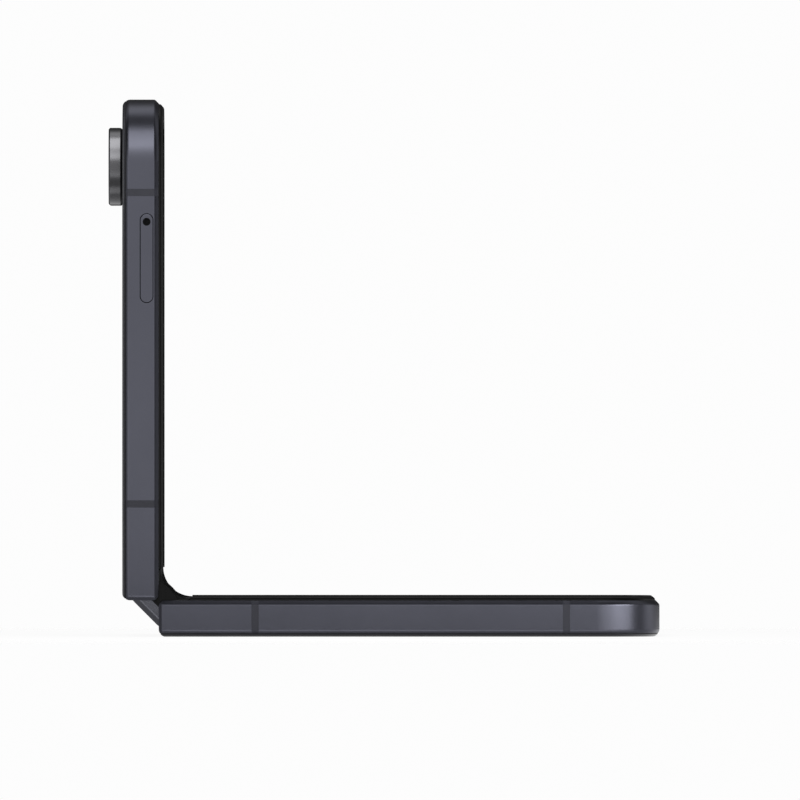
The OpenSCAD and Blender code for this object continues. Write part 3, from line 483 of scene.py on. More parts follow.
def carved(bm, cutters, operation="DIFFERENCE"):
    """The shape with each cutter taken out of it, or kept in common."""
    body = holder(outwards(bm), "carved")
    tools = [holder(outwards(cutter), "cutter") for cutter in cutters]
    for tool in tools:
        cut = body.modifiers.new("cut", "BOOLEAN")
        cut.operation = operation
        cut.solver = "EXACT"
        cut.object = tool
    mesh = bpy.data.meshes.new_from_object(body.evaluated_get(bpy.context.evaluated_depsgraph_get()))
    result = bmesh.new()
    result.from_mesh(mesh)
    for obj in [body, *tools]:
        old = obj.data
        bpy.data.objects.remove(obj)
        bpy.data.meshes.remove(old)
    bpy.data.meshes.remove(mesh)
    bmesh.ops.triangulate(result, faces=[f for f in result.faces if len(f.verts) > 4])
    bmesh.ops.remove_doubles(result, verts=result.verts, dist=TINY)
    bmesh.ops.dissolve_degenerate(result, edges=result.edges, dist=TINY)
    return painted(result, 0)


def settled(shape, name, place, finishes, replaced=(), body=None, bends=None):
    """Makes a finished piece of a shape or several, at its place, on its body, or, for a piece of the fold,
    with its place baked into its mesh.
    """
    bm = joined(*shape) if isinstance(shape, list) else outwards(shape)
    rows = Matrix((*PLACES[place], (0, 0, 0, 1)))
    bm.transform(Matrix.Scale(0.001, 4) @ rows)
    if rows.determinant() < 0:
        bmesh.ops.reverse_faces(bm, faces=bm.faces)
    piece = holder(bm, name)
    mesh = piece.data
    for material in finishes:
        mesh.materials.append(material)
    mesh.shade_smooth()
    mesh.set_sharp_from_angle(angle=math.radians(SHARP_ANGLE))
    even = piece.modifiers.new("even_shading", "WEIGHTED_NORMAL")
    even.keep_sharp = True
    even.weight = 60
    if bends:
        blended(piece, bends)
    else:
        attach(piece, body or BODIES[place])
    if replaced:
        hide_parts(*replaced)


def blended(piece, which):
    """Bakes the place of a piece of the fold into its mesh, the same for either half; it does not bend the
    piece.
    """
    if which == "lower":
        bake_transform(piece)
    else:
        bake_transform(piece)


# Finishes


class Value:
    """A number in a node tree, with arithmetic that adds Math nodes."""

    def __init__(self, finish, socket):
        self.finish, self.socket = finish, socket

    def calc(self, operation, *others):
        return self.finish.add("ShaderNodeMath", {"operation": operation}, dict(enumerate(others)))

    def __add__(self, other):
        return self.calc("ADD", self, other)

    def __radd__(self, other):
        return self.calc("ADD", other, self)

    def __sub__(self, other):
        return self.calc("SUBTRACT", self, other)

    def __rsub__(self, other):
        return self.calc("SUBTRACT", other, self)

    def __mul__(self, other):
        return self.calc("MULTIPLY", self, other)

    def __rmul__(self, other):
        return self.calc("MULTIPLY", other, self)

    def __truediv__(self, other):
        return self.calc("DIVIDE", self, other)

    def __pow__(self, other):
        return self.calc("POWER", self, other)

    def size(self):
        return self.calc("ABSOLUTE", self)

    def at_least(self, other):
        return self.calc("MAXIMUM", self, other)

    def wave(self, pitch):
        """A wave of that pitch, between 0 and 1."""
        turns = self * (2 * math.pi / pitch)
        return self.calc("SINE", turns) * 0.5 + 0.5

    def clamped(self):
        return self.finish.add("ShaderNodeClamp", {}, {"Value": self})


class Finish:
    """A material or world that is being built from nodes."""

    def __init__(self, owner):
        self.owner = owner
        owner.use_nodes = True
        self.tree = owner.node_tree
        self.tree.nodes.clear()

    def add(self, kind, settings=None, inputs=None, output=0):
        node = self.tree.nodes.new(kind)
        for key, value in (settings or {}).items():
            if key == "stops":
                ramp = node.color_ramp
                while len(ramp.elements) < len(value):
                    ramp.elements.new(1)
                for element, (position, shade) in zip(ramp.elements, value):
                    element.position = position
                    element.color = (*shade, 1)
            else:
                setattr(node, key, value)
        for key, value in (inputs or {}).items():
            if isinstance(value, Value):
                self.tree.links.new(value.socket, node.inputs[key])
            else:
                node.inputs[key].default_value = value
        return Value(self, node.outputs[output]) if node.outputs else None

    def place(self, scale=(1, 1, 1)):
        """Object coordinates in millimetres, scaled."""
        spot = self.add("ShaderNodeTexCoord", output="Object")
        return self.add("ShaderNodeMapping", {}, {"Vector": spot, "Scale": [1000 * s for s in scale]})

    def axes(self, place):
        return [self.add("ShaderNodeSeparateXYZ", {}, {0: place}, output=i) for i in range(3)]

    def away(self, first, second, *centres):
        """How far off the nearest centre is, along two axes."""
        nearest = None
        for a, b in centres:
            reach = ((first - a) * (first - a) + (second - b) * (second - b)) ** 0.5
            nearest = reach if nearest is None else reach.calc("MINIMUM", nearest, reach)
        return nearest

    def noise(self, place, scale, detail=3.0, roughness=0.5):
        inputs = {"Vector": place, "Scale": scale, "Detail": detail, "Roughness": roughness}
        return self.add("ShaderNodeTexNoise", {}, inputs)

    def ramp(self, value, *stops):
        return self.add("ShaderNodeValToRGB", {"stops": stops}, {"Fac": value})

    def blend(self, amount, first, second):
        """A colour between two, by a value from 0 to 1."""
        ends = [end if isinstance(end, Value) else (*end, 1) for end in (first, second)]
        inputs = {"Factor": amount, 6: ends[0], 7: ends[1]}
        return self.add("ShaderNodeMix", {"data_type": "RGBA"}, inputs, output=2)

    def tint(self, amount, base, dark, light):
        """A base colour made darker or lighter, by a value from 0 to 1."""
        return self.blend(amount, tone(base, dark), tone(base, light))

    def bump(self, height, depth):
        """A normal from a height, whose full range is depth millimetres deep."""
        return self.add("ShaderNodeBump", {}, {"Height": height, "Strength": 1.0, "Distance": depth / 1000})

    def rays(self, *kinds):
        """1 for rays of those kinds, 0 for others."""
        kinds = [self.add("ShaderNodeLightPath", output=kind) for kind in kinds]
        return sum(kinds[1:], kinds[0]).clamped()

    def glow(self, kind, tint, strength):
        return self.add(kind, {}, {"Color": tint, "Strength": strength})

    def shade(self, **sockets):
        """Ends the material in one Principled shader."""
        values = {
            key.replace("_", " "): (*value, 1) if isinstance(value, tuple) else value
            for key, value in sockets.items()
        }
        shader = self.add("ShaderNodeBsdfPrincipled", {}, values)
        self.add("ShaderNodeOutputMaterial", {}, {"Surface": shader})
        return self.owner


MADE = {}
BLACK, WHITE = (0, 0, 0), (1, 1, 1)


def finish(name, build, *values, **settings):
    """The named finish, made the first time that it is asked for."""
    if name not in MADE:
        MADE[name] = build(Finish(bpy.data.materials.new(name)), *values, **settings)
    return MADE[name]


def tone(tint, factor):
    """A colour made darker or lighter."""
    return tuple(min(1.0, c * factor) for c in tint)


def grey(value):
    return (value, value, value)


def anodised(f, base, rough=0.3, grain=0.0035):
    """Bead-blasted and dyed metal: a very fine grain, with the dye a little uneven."""
    place = f.place()
    blast = f.noise(place, 9.0, 2.0, 0.6)
    cloud = f.noise(place, 0.09, 3.0)
    rubbed = f.noise(place, 0.5, 5.0, 0.62)
    return f.shade(
        Base_Color=f.tint((0.7 * cloud + 0.3 * blast).clamped(), base, 0.9, 1.1), Metallic=1.0,
        Roughness=rough - 0.05 + 0.05 * blast + 0.06 * rubbed, Normal=f.bump(blast, grain),
    )


def brushed(f, base):
    """Metal with fine lines along the width."""
    lines = f.noise(f.place((1, 0.02, 1)), 9.0, 4.0, 0.65)
    cloud = f.noise(f.place(), 0.12, 3.0)
    return f.shade(
        Base_Color=f.tint((0.6 * lines + 0.4 * cloud).clamped(), base, 0.86, 1.14), Metallic=1.0,
        Roughness=0.2 + 0.12 * lines, Normal=f.bump(lines, 0.003),
    )


def moulded(f, base, rough=0.42, grain=0.006, gloss=0.3):
    """Moulded plastic with a fine spark-eroded grain."""
    place = f.place()
    texture = f.add("ShaderNodeTexVoronoi", {"feature": "SMOOTH_F1"}, {"Vector": place, "Scale": 5.0})
    cloud = f.noise(place, 0.2, 4.0)
    return f.shade(
        Base_Color=f.tint(cloud, base, 0.85, 1.2), Roughness=rough - 0.05 + 0.1 * cloud,
        Specular_IOR_Level=gloss, Normal=f.bump(texture, grain),
    )


def in_window(f, place, low, high, corner):
    """1 inside a rounded rectangle across the width and the height, 0 outside it."""
    reach = 0.0
    for value, start, end in zip(f.axes(place)[1:], low, high):
        beyond = ((value - (start + end) / 2).size() - ((end - start) / 2 - corner)).at_least(0.0)
        reach = beyond * beyond + reach
    return ((corner - reach ** 0.5) / 0.06 + 0.5).clamped()


def satin_glass(f, base, window=None):
    """Etched glass over a dark dye: soft sheen, a trace of handling, and clear over a screen."""
    place = f.place()
    haze = f.noise(place, 0.06, 4.0, 0.6)
    etch = f.noise(place, 14.0, 2.0, 0.7)
    marks = f.ramp(f.noise(place, 0.11, 6.0, 0.7), (0.5, BLACK), (0.72, WHITE))
    dye = f.tint((0.8 * haze + 0.2 * etch).clamped(), base, 0.88, 1.14)
    satin = 0.27 + 0.04 * etch + 0.05 * marks
    if window:
        clear = in_window(f, place, *window)
        dye = f.blend(clear, dye, (0.004, 0.004, 0.005))
        satin = satin * (1 - 0.72 * clear)
    return f.shade(
        Base_Color=dye, Roughness=satin, IOR=1.5, Specular_IOR_Level=0.45, Coat_Weight=0.15,
        Coat_Roughness=0.16, Normal=f.bump(etch, 0.0012),
    )


def dark_screen(f, base):
    """A switched-off screen: near-black panel under clear glass."""
    smear = f.noise(f.place((1, 0.35, 1)), 0.09, 6.0, 0.6)
    dust = f.ramp(f.noise(f.place(), 3.2, 2.0, 0.8), (0.66, BLACK), (0.8, WHITE))
    ripple = f.noise(f.place((1, 0.25, 1)), 0.05, 2.0)
    return f.shade(
        Base_Color=f.tint(smear, base, 0.8, 1.35), Roughness=0.07 + 0.05 * smear + 0.06 * dust,
        IOR=1.36, Specular_IOR_Level=0.4, Normal=f.bump(ripple, 0.01),
    )


def turned_metal(f, base, centres):
    """Metal turned on a lathe: fine rings about each camera's own middle."""
    place = f.place()
    nearest = f.away(*f.axes(place)[1:], *centres)
    spot = f.add("ShaderNodeCombineXYZ", {}, {0: nearest * 9.0, 1: 0.0, 2: 0.0})
    rings = f.noise(spot, 1.0)
    cloud = f.noise(place, 0.3, 3.0)
    return f.shade(
        Base_Color=f.tint((0.6 * rings + 0.4 * cloud).clamped(), base, 0.86, 1.15), Metallic=1.0,
        Roughness=0.2 + 0.1 * rings, Normal=f.bump(rings, 0.002),
    )


def clear_window(f, base):
    """A sapphire or glass window: mostly clear, with a coated sheen."""
    wipe = f.noise(f.place(), 0.35, 5.0, 0.6)
    return f.shade(
        Base_Color=f.tint(wipe, base, 0.8, 1.3), Roughness=0.03 + 0.03 * wipe, Alpha=0.3 + 0.05 * wipe,
        Coat_Weight=1.0, Coat_Roughness=0.02,
    )


def lens_with_painted_sheen(f, centres, first, second, reach=2.6):
    """A dark lens with a painted sheen: coloured rings from its middle to its edge stand in for the coating's
    reflections.
    """
    place = f.place()
    off = (f.away(*f.axes(place)[1:], *centres) / reach).clamped()
    # Painted reflection: the coating's coloured sheen is laid into the base colour in rings.
    sheen_rings = f.ramp(off, (0, (0.001, 0.001, 0.002)), (0.35, first), (0.75, second), (1, (0.002, 0.002, 0.003)))
    wipe = f.noise(place, 0.5, 3.0)
    return f.shade(
        Base_Color=sheen_rings, Roughness=0.03 + 0.03 * wipe, Specular_IOR_Level=0.8, Coat_Weight=1.0,
        Coat_Roughness=0.01,
    )


def printed_board(f, base):
    """A circuit board: solder mask with copper under it, pads and small parts."""
    place = f.place()
    bricks = {"Vector": place, "Scale": 0.55, "Mortar Size": 0.045}
    bricks |= {"Color1": (*BLACK, 1), "Color2": (*grey(0.2), 1), "Mortar": (*WHITE, 1)}
    traces = f.add("ShaderNodeTexBrick", {"offset": 0.37, "squash": 0.6}, bricks)
    pads = f.add("ShaderNodeTexVoronoi", {"distance": "CHEBYCHEV"}, {"Vector": place, "Scale": 0.8})
    gold = f.ramp(pads, (0.1, WHITE), (0.14, BLACK))
    mask = f.blend(traces, base, tone(base, 1.7))
    return f.shade(
        Base_Color=f.blend(gold, mask, (0.62, 0.42, 0.14)), Metallic=0.9 * gold,
        Roughness=0.34 - 0.06 * gold, Normal=f.bump(traces, 0.03),
    )


def cell_foil(f, base):
    """The printed-on foil of a battery pouch, lightly wrinkled."""
    place = f.place()
    wrinkle = f.noise(place, 0.35, 5.0, 0.6)
    weave = f.noise(place, 6.0, 2.0)
    return f.shade(
        Base_Color=f.tint(wrinkle, base, 0.8, 1.25), Metallic=0.35, Roughness=0.36 + 0.1 * weave,
        Normal=f.bump(wrinkle, 0.05),
    )


def wound_copper(f, base, centre, pitch):
    """Flat enamelled copper turns about a middle."""
    turns = f.away(*f.axes(f.place())[:2], centre).wave(pitch)
    return f.shade(
        Base_Color=f.tint(turns, base, 0.35, 1.2), Metallic=1.0, Roughness=0.3 + 0.15 * turns,
        Normal=f.bump(turns, 0.08),
    )


def machined(f, base, rough=0.3, size=2.0):
    """Cut or stamped metal with tool marks."""
    marks = f.noise(f.place((1, 0.1, 1)), size, 4.0, 0.6)
    spots = f.noise(f.place(), 0.7, 4.0)
    return f.shade(
        Base_Color=f.tint((0.5 * marks + 0.5 * spots).clamped(), base, 0.75, 1.2), Metallic=1.0,
        Roughness=rough + 0.12 * spots, Normal=f.bump(marks, 0.004),
    )


def flex_film(f, base):
    """Polyimide film with copper tracks showing through."""
    tracks = f.axes(f.place())[1].wave(0.5)
    return f.shade(
        Base_Color=f.tint(f.ramp(tracks, (0.4, BLACK), (0.6, WHITE)), base, 0.6, 1),
        Roughness=0.3 + 0.1 * tracks, Metallic=0.25 * tracks,
    )


def warm_diffuser(f, base, centre):
    """The flash window: ribbed clear plastic over a warm lamp."""
    place = f.place()
    off = (f.away(*f.axes(place)[1:], centre) / 2.0).clamped()
    glow = f.ramp(off, (0, (0.9, 0.72, 0.32)), (0.4, base), (1, tone(base, 0.62)))
    frost = f.noise(place, 4.0, 3.0)
    return f.shade(Base_Color=glow, Roughness=0.14 + 0.14 * frost, Coat_Weight=0.8, Coat_Roughness=0.05)


def shades(scene, plan):
    """The finishes of the outside, by name."""
    colours = scene.phone_finishes
    centres = [(SPINE_Y + y, SPINE_Z + HALF_DX + plan.camera_x) for y in plan.camera_y]
    flash = (SPINE_Y + plan.flash_y, SPINE_Z + HALF_DX + plan.camera_x)
    eye = [(SPINE_Y, SPINE_Z + HALF_DX + plan.eye_x)]
    low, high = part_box("cover_display")
    border, corner = 1.6, 4.0
    window = ([mm(v) - border for v in low[1:]], [mm(v) + border for v in high[1:]], corner)
    return {
        "metal": finish("frame_metal", anodised, colours.metal),
        "strip": finish("antenna_plastic", moulded, colours.strips, rough=0.4, grain=0.003, gloss=0.3),
        "lower_glass": finish("back_glass", satin_glass, colours.glass),
        "upper_glass": finish("window_glass", satin_glass, colours.glass, window=window),
        # A black finish that paints shade: in the seam groove under the back glass, and inside the eject hole
        "seam": finish("seam_adhesive", moulded, (0.006, 0.006, 0.008), rough=0.6),
        "rim": finish("rim_plastic", moulded, colours.rim, rough=0.36, grain=0.004, gloss=0.15),
        "screen": finish("screen_glass", dark_screen, colours.screen),
        "spine": finish("spine_metal", brushed, colours.spine),
        "cap": finish("cap_plastic", moulded, colours.cap, rough=0.5, gloss=0.12),
        "ring": finish("camera_metal", turned_metal, colours.ring, centres),
        "window": finish("lens_window", clear_window, (0.01, 0.012, 0.018)),
        "lens": finish("lens_coating", lens_with_painted_sheen, centres, (0.02, 0.006, 0.05), (0.004, 0.03, 0.035)),
        "eye": finish("eye_coating", lens_with_painted_sheen, eye, (0.01, 0.01, 0.05), (0.01, 0.03, 0.03), reach=1.0),
        "barrel": finish("barrel_plastic", moulded, (0.008, 0.008, 0.009), rough=0.34, grain=0.002),
        "flash": finish("flash_plastic", warm_diffuser, (0.85, 0.8, 0.66), flash),
        "steel": finish("socket_steel", machined, (0.42, 0.42, 0.43), rough=0.24),
        "gold": finish("contact_gold", machined, (0.72, 0.5, 0.2), rough=0.22),
        "port": finish("socket_plastic", moulded, (0.012, 0.012, 0.013), rough=0.45),
        "reader": finish("reader_metal", anodised, tone(colours.metal, 0.62), rough=0.24),
        "film": finish("flex_film", flex_film, (0.52, 0.24, 0.05)),
    }


# Pieces


def hinge_bay(plan):
    """What the fold end leaves open for the spine."""
    reach, side = plan.bay, plan.bay_side
    drum = along_width(pin(reach, -side, side, 96), AXIS_X, AXIS_Z)
    mouth = block((-1, -side, AXIS_Z - reach), (AXIS_X, side, 1))
    shelf = block((AXIS_X - 0.5, -side, AXIS_Z), (AXIS_X + reach, side, 1))
    return [drum, mouth, shelf]


def strip_blocks(plan, spare=0.0):
    """Blocks at the places of the antenna strips."""
    half = plan.strip / 2 - spare
    low, inner, outer = plan.glass_top - 1, plan.side - STRIP_DEPTH, plan.side + 1
    return [
        block((x - half, side * inner, low), (x + half, side * outer, 1))
        for x in (FOLD_END + STRIPS_FROM_FOLD, plan.free - STRIPS_FROM_FREE) for side in (-1, 1)
    ]


def fold_corners(plan):
    """What the bevels at the fold end take off a half, softly where they meet its sides."""
    width = plan.fold_bevel
    outline = [(width + 0.44, 1), (-1, 1), (-1, -width), (0, -width), (width - 0.13, -0.13)]
    outline += [(width + 0.05, -0.064), (width + 0.24, -0.023), (width + 0.44, 0)]
    cutters = []
    for side in (-1, 1):
        bm = drawn([(FOLD_END + x, side * (plan.side + y), plan.back - 1) for x, y in outline])
        drawn_out(bm, bm.faces[:], (0, 0, 2 - plan.back))
        cutters.append(bm)
    return cutters


def half_slab(plan, z, way):
    """The outer form of a half, glass and all, bevelled, and then cut off past z."""
    bm = plate(FOLD_END, plan.free, plan.side, plan.back, 0, plan.corner, plan.steps)
    soft_bevel(bm, 0, -1, *plan.front_edge)
    soft_bevel(bm, plan.back, 1, *plan.back_edge)
    return cut_away(bm, (0, 0, z), (0, 0, way))


def slit(plan, low):
    """What the earpiece's slit takes out beside the rim."""
    x = plan.free - SLIT_FROM_FREE
    return block((x, -SLIT_REACH, low), (x + SLIT_WIDTH, SLIT_REACH, 1))


def rails(plan, which):
    """The metal frame of one half, with its plate, its bay and every opening in it."""
    spare = 2 * plan.gap
    free, inner = plan.free - plan.rail, plan.side - plan.rail
    sides, recess = plan.screen_side + 0.05, plan.screen_free + 0.05
    steps = INSIDE_STEPS
    cutters = [
        *hinge_bay(plan),
        plate(HOLLOW_X, free, inner, plan.glass_top - 1, plan.plate_bottom, plan.corner - plan.rail, steps),
        plate(RECESS_X, recess, sides, plan.panel_bottom, 1, plan.corner - RECESS_CORNER, steps),
        *fold_corners(plan),
        *strip_blocks(plan),
    ]
    through = (inner - 1, plan.side + 1)
    if which == "upper":
        tray = (plan.tray + spare, plan.tray_width + spare)
        cutters.append(pill(*tray, -through[1], -through[0], plan.tray_x, TRAY_Z))
        for x, size in ((plan.volume_x, plan.volume), (plan.power_x, plan.power)):
            cutters.append(pill(size + spare, plan.key_width + spare, *through, x, KEY_Z))
        cutters.append(pin(plan.eye, plan.plate_bottom - 1, 1, at=(plan.eye_x, 0)))
        cutters.append(slit(plan, plan.plate_bottom - 1))
    else:
        end = (free - 1, plan.free + 1)
        cutters.append(through_end(oval(plan.port, plan.port_height, *end, 8), 0, plan.port_z))
        for y in [SOUND_FIRST - SOUND_PITCH * i for i in range(6)] + [MICROPHONE_Y]:
            cutters.append(through_end(pin(SOUND_HOLE, *end, 24), y, plan.port_z))
    return carved(half_slab(plan, plan.glass_top, -1), cutters)


def prepared(context):
    """The plan and the finishes of the scene."""
    plan = Plan(context.scene)
    return plan, shades(context.scene, plan)


class PHONE_OT_rails(bpy.types.Operator):
    """Builds the metal frames of both halves"""

    bl_idname = "phone.rails"
    bl_label = "Frames"

    def execute(self, context):
        plan, kit = prepared(context)
        for which in HALVES:
            shape = rails(plan, which)
            settled(shape, f"{which}_frame_rails", which, [kit["metal"]], [f"{which}_frame"])
        return {"FINISHED"}


class PHONE_OT_strips(bpy.types.Operator):
    """Builds the antenna strips in the rails"""

    bl_idname = "phone.strips"
    bl_label = "Antenna strips"

    def execute(self, context):
        plan, kit = prepared(context)
        for which in HALVES:
            blocks = joined(*strip_blocks(plan, 0.01))
            settled(
                carved(half_slab(plan, plan.glass_top, -1), [blocks], "INTERSECT"), f"{which}_antenna_bands",
                which, [kit["strip"]], [f"{which}_antenna_strips"],
            )
        return {"FINISHED"}


class PHONE_OT_backs(bpy.types.Operator):
    """Builds the satin glass backs, with a black layer in the seam groove under them that paints the shade
    there
    """

    bl_idname = "phone.backs"
    bl_label = "Back glass"

    def execute(self, context):
        plan, kit = prepared(context)
        for which in HALVES:
            glass = half_slab(plan, plan.glass_top - SEAM, 1)
            # The bed is a black layer at the back of the seam groove: it is painted shade for the gap between
            # the glass and the frame.
            bed = plate(
                FOLD_END + SEAM_INSET, plan.free - SEAM_INSET, plan.side - SEAM_INSET,
                plan.glass_top - SEAM - 0.02, plan.glass_top, plan.corner - SEAM_INSET, plan.steps,
            )
            if which == "upper":
                low, x = plan.ring_face - 1, plan.camera_x
                holes = [pin(plan.neck, low, 0, 96, (x, y)) for y in plan.camera_y]
                holes.append(pin(plan.flash, low, 0, at=(x, plan.flash_y)))
                bed = carved(bed, [h.copy() for h in holes])
                glass = carved(glass, holes)
            settled(
                [glass, painted(bed, 1)], f"{which}_back_panel", which, [kit[f"{which}_glass"], kit["seam"]],
                [f"{which}_back_glass"],
            )
        return {"FINISHED"}


def swept_rim(plan):
    """The raised rim: one section carried up a side, round the free end and back."""
    outer, inner, top = plan.rim_outer, plan.rim_inner, plan.rim_top
    lap, lap_z = plan.screen_side + 0.02, plan.screen + 0.004
    section = [(outer, 0), (outer, top), (inner, top), (inner, lap_z), (lap, lap_z), (lap, 0)]
    bm = drawn(section, lambda p: (BEND_X, -p[0], p[1]))
    bm.verts.ensure_lookup_table()
    for corner, width, steps in ((bm.verts[1], plan.rim_round, 6), (bm.verts[2], 0.09, 3)):
        round_corners(bm, [corner], width, steps)
        bm.verts.ensure_lookup_table()
    radius = plan.corner - plan.rim_inset
    turn_x, turn_y = plan.rim_free - radius, plan.rim_outer - radius

    def bend(region, y):
        geom = {e for f in region for e in f.edges} | {v for f in region for v in f.verts} | set(region)
        made = bmesh.ops.spin(
            bm, geom=list(geom), cent=(turn_x, y, 0), axis=(0, 0, 1), dvec=(0, 0, 0),
            angle=math.pi / 2, steps=plan.steps, use_duplicate=False,
        )["geom_last"]
        return [f for f in made if isinstance(f, bmesh.types.BMFace)]

    last = drawn_out(bm, bm.faces[:], (turn_x - BEND_X, 0, 0), keep=False)
    last = bend(last, -turn_y)
    last = drawn_out(bm, last, (0, 2 * turn_y, 0), keep=False)
    last = bend(last, turn_y)
    drawn_out(bm, last, (BEND_X - turn_x, 0, 0), keep=False)
    inside = [f for f in bm.faces if all(len(e.link_faces) > 2 for e in f.edges)]
    bmesh.ops.delete(bm, geom=inside, context="FACES_ONLY")
    return bm


class PHONE_OT_rims(bpy.types.Operator):
    """Builds the raised rims round both screens"""

    bl_idname = "phone.rims"
    bl_label = "Screen rims"

    def execute(self, context):
        plan, kit = prepared(context)
        for which in HALVES:
            rim = swept_rim(plan)
            if which == "upper":
                rim = carved(rim, [slit(plan, -1)])
            settled(rim, f"{which}_screen_rim", which, [kit["rim"]], [f"{which}_rim"])
        return {"FINISHED"}


class PHONE_OT_screens(bpy.types.Operator):
    """Builds the stiff part of the screen in each half"""

    bl_idname = "phone.screens"
    bl_label = "Screens"

    def execute(self, context):
        plan, kit = prepared(context)
        sides = (plan.screen_free, plan.screen_side)
        for which in HALVES:
            panel = plate(BEND_X, *sides, plan.panel_bottom, plan.screen, SCREEN_CORNER, plan.steps)
            if which == "upper":
                panel = carved(panel, [pin(plan.eye, -3, 3, 64, (plan.eye_x, 0))])
            settled(panel, f"{which}_screen_panel", which, [kit["screen"]], [f"{which}_display"])
        return {"FINISHED"}


def fold_section(flat_top, flat_bottom, steps):
    """The outline of what folds, in the spine's frame, where it lies flat when the phone does.

    A point goes with the spine by t * t * (3 - 2 * t), t from 0 at the bend's start to 1 in the
    middle, so at rest it is still turned by the rest of 45 degrees about the fold axis.
    """
    sides = []
    for height in (flat_top, flat_bottom):
        line = []
        for i in range(steps + 1):
            t = i / steps
            turn = math.radians(45) * (1 - t * t * (3 - 2 * t))
            x = BEND_END_X * (1 - t)
            flat_x = x
            for _ in range(40):
                rise = height(flat_x) - AXIS_Z
                flat_x = AXIS_X + (x - AXIS_X + math.sin(turn) * rise) / math.cos(turn)
            rise = height(flat_x) - AXIS_Z
            line.append((x, AXIS_Z + math.sin(turn) * (flat_x - AXIS_X) + math.cos(turn) * rise))
        sides.append(line)
    return sides


def folded(low_line, high_line, which):
    """The points round a folded section, on one half's side of the spine."""
    sign = 1 if which == "lower" else -1
    return [(sign * x, z) for x, z in low_line + high_line[::-1]]


class PHONE_OT_fold_screen(bpy.types.Operator):
    """Builds the part of the screen that folds, with its edge guards"""

    bl_idname = "phone.fold_screen"
    bl_label = "Folding screen"

    def execute(self, context):
        plan, kit = prepared(context)

        def top(x):
            near = max(0.0, 1 - abs(x) / CREASE_REACH)
            return plan.screen - plan.crease * near * near * (3 - 2 * near)

        upper_line, lower_line = fold_section(top, lambda x: top(x) - FOLD_THICKNESS, 48)
        places = [BEND_END_X * (1 - i / 24) for i in range(25)]
        arc = [(x, ARC_Z - math.sqrt(ARC_R**2 - x * x)) for x in places]
        under = [(x, z - 0.02) for x, z in upper_line[::2]]
        side = plan.screen_side
        for which in HALVES:
            panel = bar(folded(upper_line, lower_line, which), -side, side)
            guard = bar(folded(arc, under, which), side - GUARD_INNER, side + GUARD_OUTER)
            settled(
                [panel, painted(on_both_sides(guard), 1)], f"{which}_screen_bend", "spine",
                [kit["screen"], kit["rim"]], [f"{which}_fold_display"], bends=which,
            )
        return {"FINISHED"}


class PHONE_OT_flex_cable(bpy.types.Operator):
    """Builds the ribbon that carries the signals across the fold"""

    bl_idname = "phone.flex_cable"
    bl_label = "Fold ribbon"

    def execute(self, context):
        plan, kit = prepared(context)
        top = plan.plate_bottom - RIBBON_DEPTH
        low = top - RIBBON_THICKNESS
        reach, plug_low = RIBBON_REACH, plan.plate_bottom - 0.8
        upper_line, lower_line = fold_section(lambda x: top, lambda x: low, 24)
        flat_x = AXIS_X + (BEND_END_X - AXIS_X + TURN * (top - AXIS_Z)) / TURN
        for which in HALVES:
            bend = bar(folded(upper_line, lower_line, which), -reach, reach)
            settled(
                bend, f"{which}_ribbon_bend", "spine", [kit["film"]],
                ["hinge_flex_cable"] if which == "lower" else (), bends=which,
            )
            run = block((flat_x, -reach, low), (11.2, reach, top))
            plug = soft_block((11, -reach, plug_low), (14, reach, plan.plate_bottom), 0.12)
            settled([run, plug], f"{which}_ribbon_tail", which, [kit["film"]])
        return {"FINISHED"}


def trough(radius, side, steps):
    """A long box with its floor rounded about both fold axes."""
    reach = AXIS_X + radius
    bm = block((-reach, -side, AXIS_Z - radius), (reach, side, AXIS_Z + 1))
    edges = [e for e in chosen(bm, level(2, AXIS_Z - radius)) if across(e, 0) < TINY]
    round_off(bm, edges, radius, steps)
    return bm


def soften_ends(bm, side, width, steps):
    """Bevels the edges round both ends of a trough, but not along its open top."""
    edges = []
    for edge in bm.edges:
        at_end = across(edge, 1) < TINY and all(abs(abs(v.co.y) - side) < TINY for v in edge.verts)
        low, high = sorted(v.co.z for v in edge.verts)
        if at_end and low < AXIS_Z + 0.9 and (high < AXIS_Z + TINY or high - low > 0.5):
            edges.append(edge)
    round_off(bm, edges, width, steps)


class PHONE_OT_spine(bpy.types.Operator):
    """Builds the metal spine between the halves"""

    bl_idname = "phone.spine"
    bl_label = "Spine"

    def execute(self, context):
        plan, kit = prepared(context)
        side = plan.spine_side
        shell = trough(plan.spine, side, 28)
        soften_ends(shell, side, plan.end_round, 1)
        soften_ends(shell, side, SPINE_SOFT, 4)
        cutters = [trough(plan.spine - plan.spine_wall, side - 1, 20)]
        for s in (-1, 1):
            cutters.append(block((-10, s * (side - CAP_SEAT), SPINE_FLOOR), (10, s * (side + 1), 0)))
        shape = carved(cut_away(shell, (0, 0, SPINE_TOP), (0, 0, 1)), cutters)
        settled(shape, "hinge_spine_cover", "spine", [kit["spine"]], ["spine_cover"])
        return {"FINISHED"}


class PHONE_OT_caps(bpy.types.Operator):
    """Builds the dark caps that close the sides of the fold"""

    bl_idname = "phone.caps"
    bl_label = "Fold caps"

    def execute(self, context):
        plan, kit = prepared(context)
        side, top = plan.spine_side, plan.rim_top
        right = [(1.5, SPINE_FLOOR), (1.5, -1), (3.6, -1), (3.6, 0), (2.4, 0.25), (1.05, top)]
        outline = [(-1.5, SPINE_FLOOR), *right, (0, top + 0.05), *[(-x, z) for x, z in right[:0:-1]]]
        cap = bar(outline, plan.screen_side + 0.15, side)
        round_off(cap, chosen(cap, level(1, side)), 0.1, 3)
        caps = on_both_sides(cap)
        settled(caps, "fold_cap_covers", "spine", [kit["cap"]], ["fold_side_caps"])
        return {"FINISHED"}


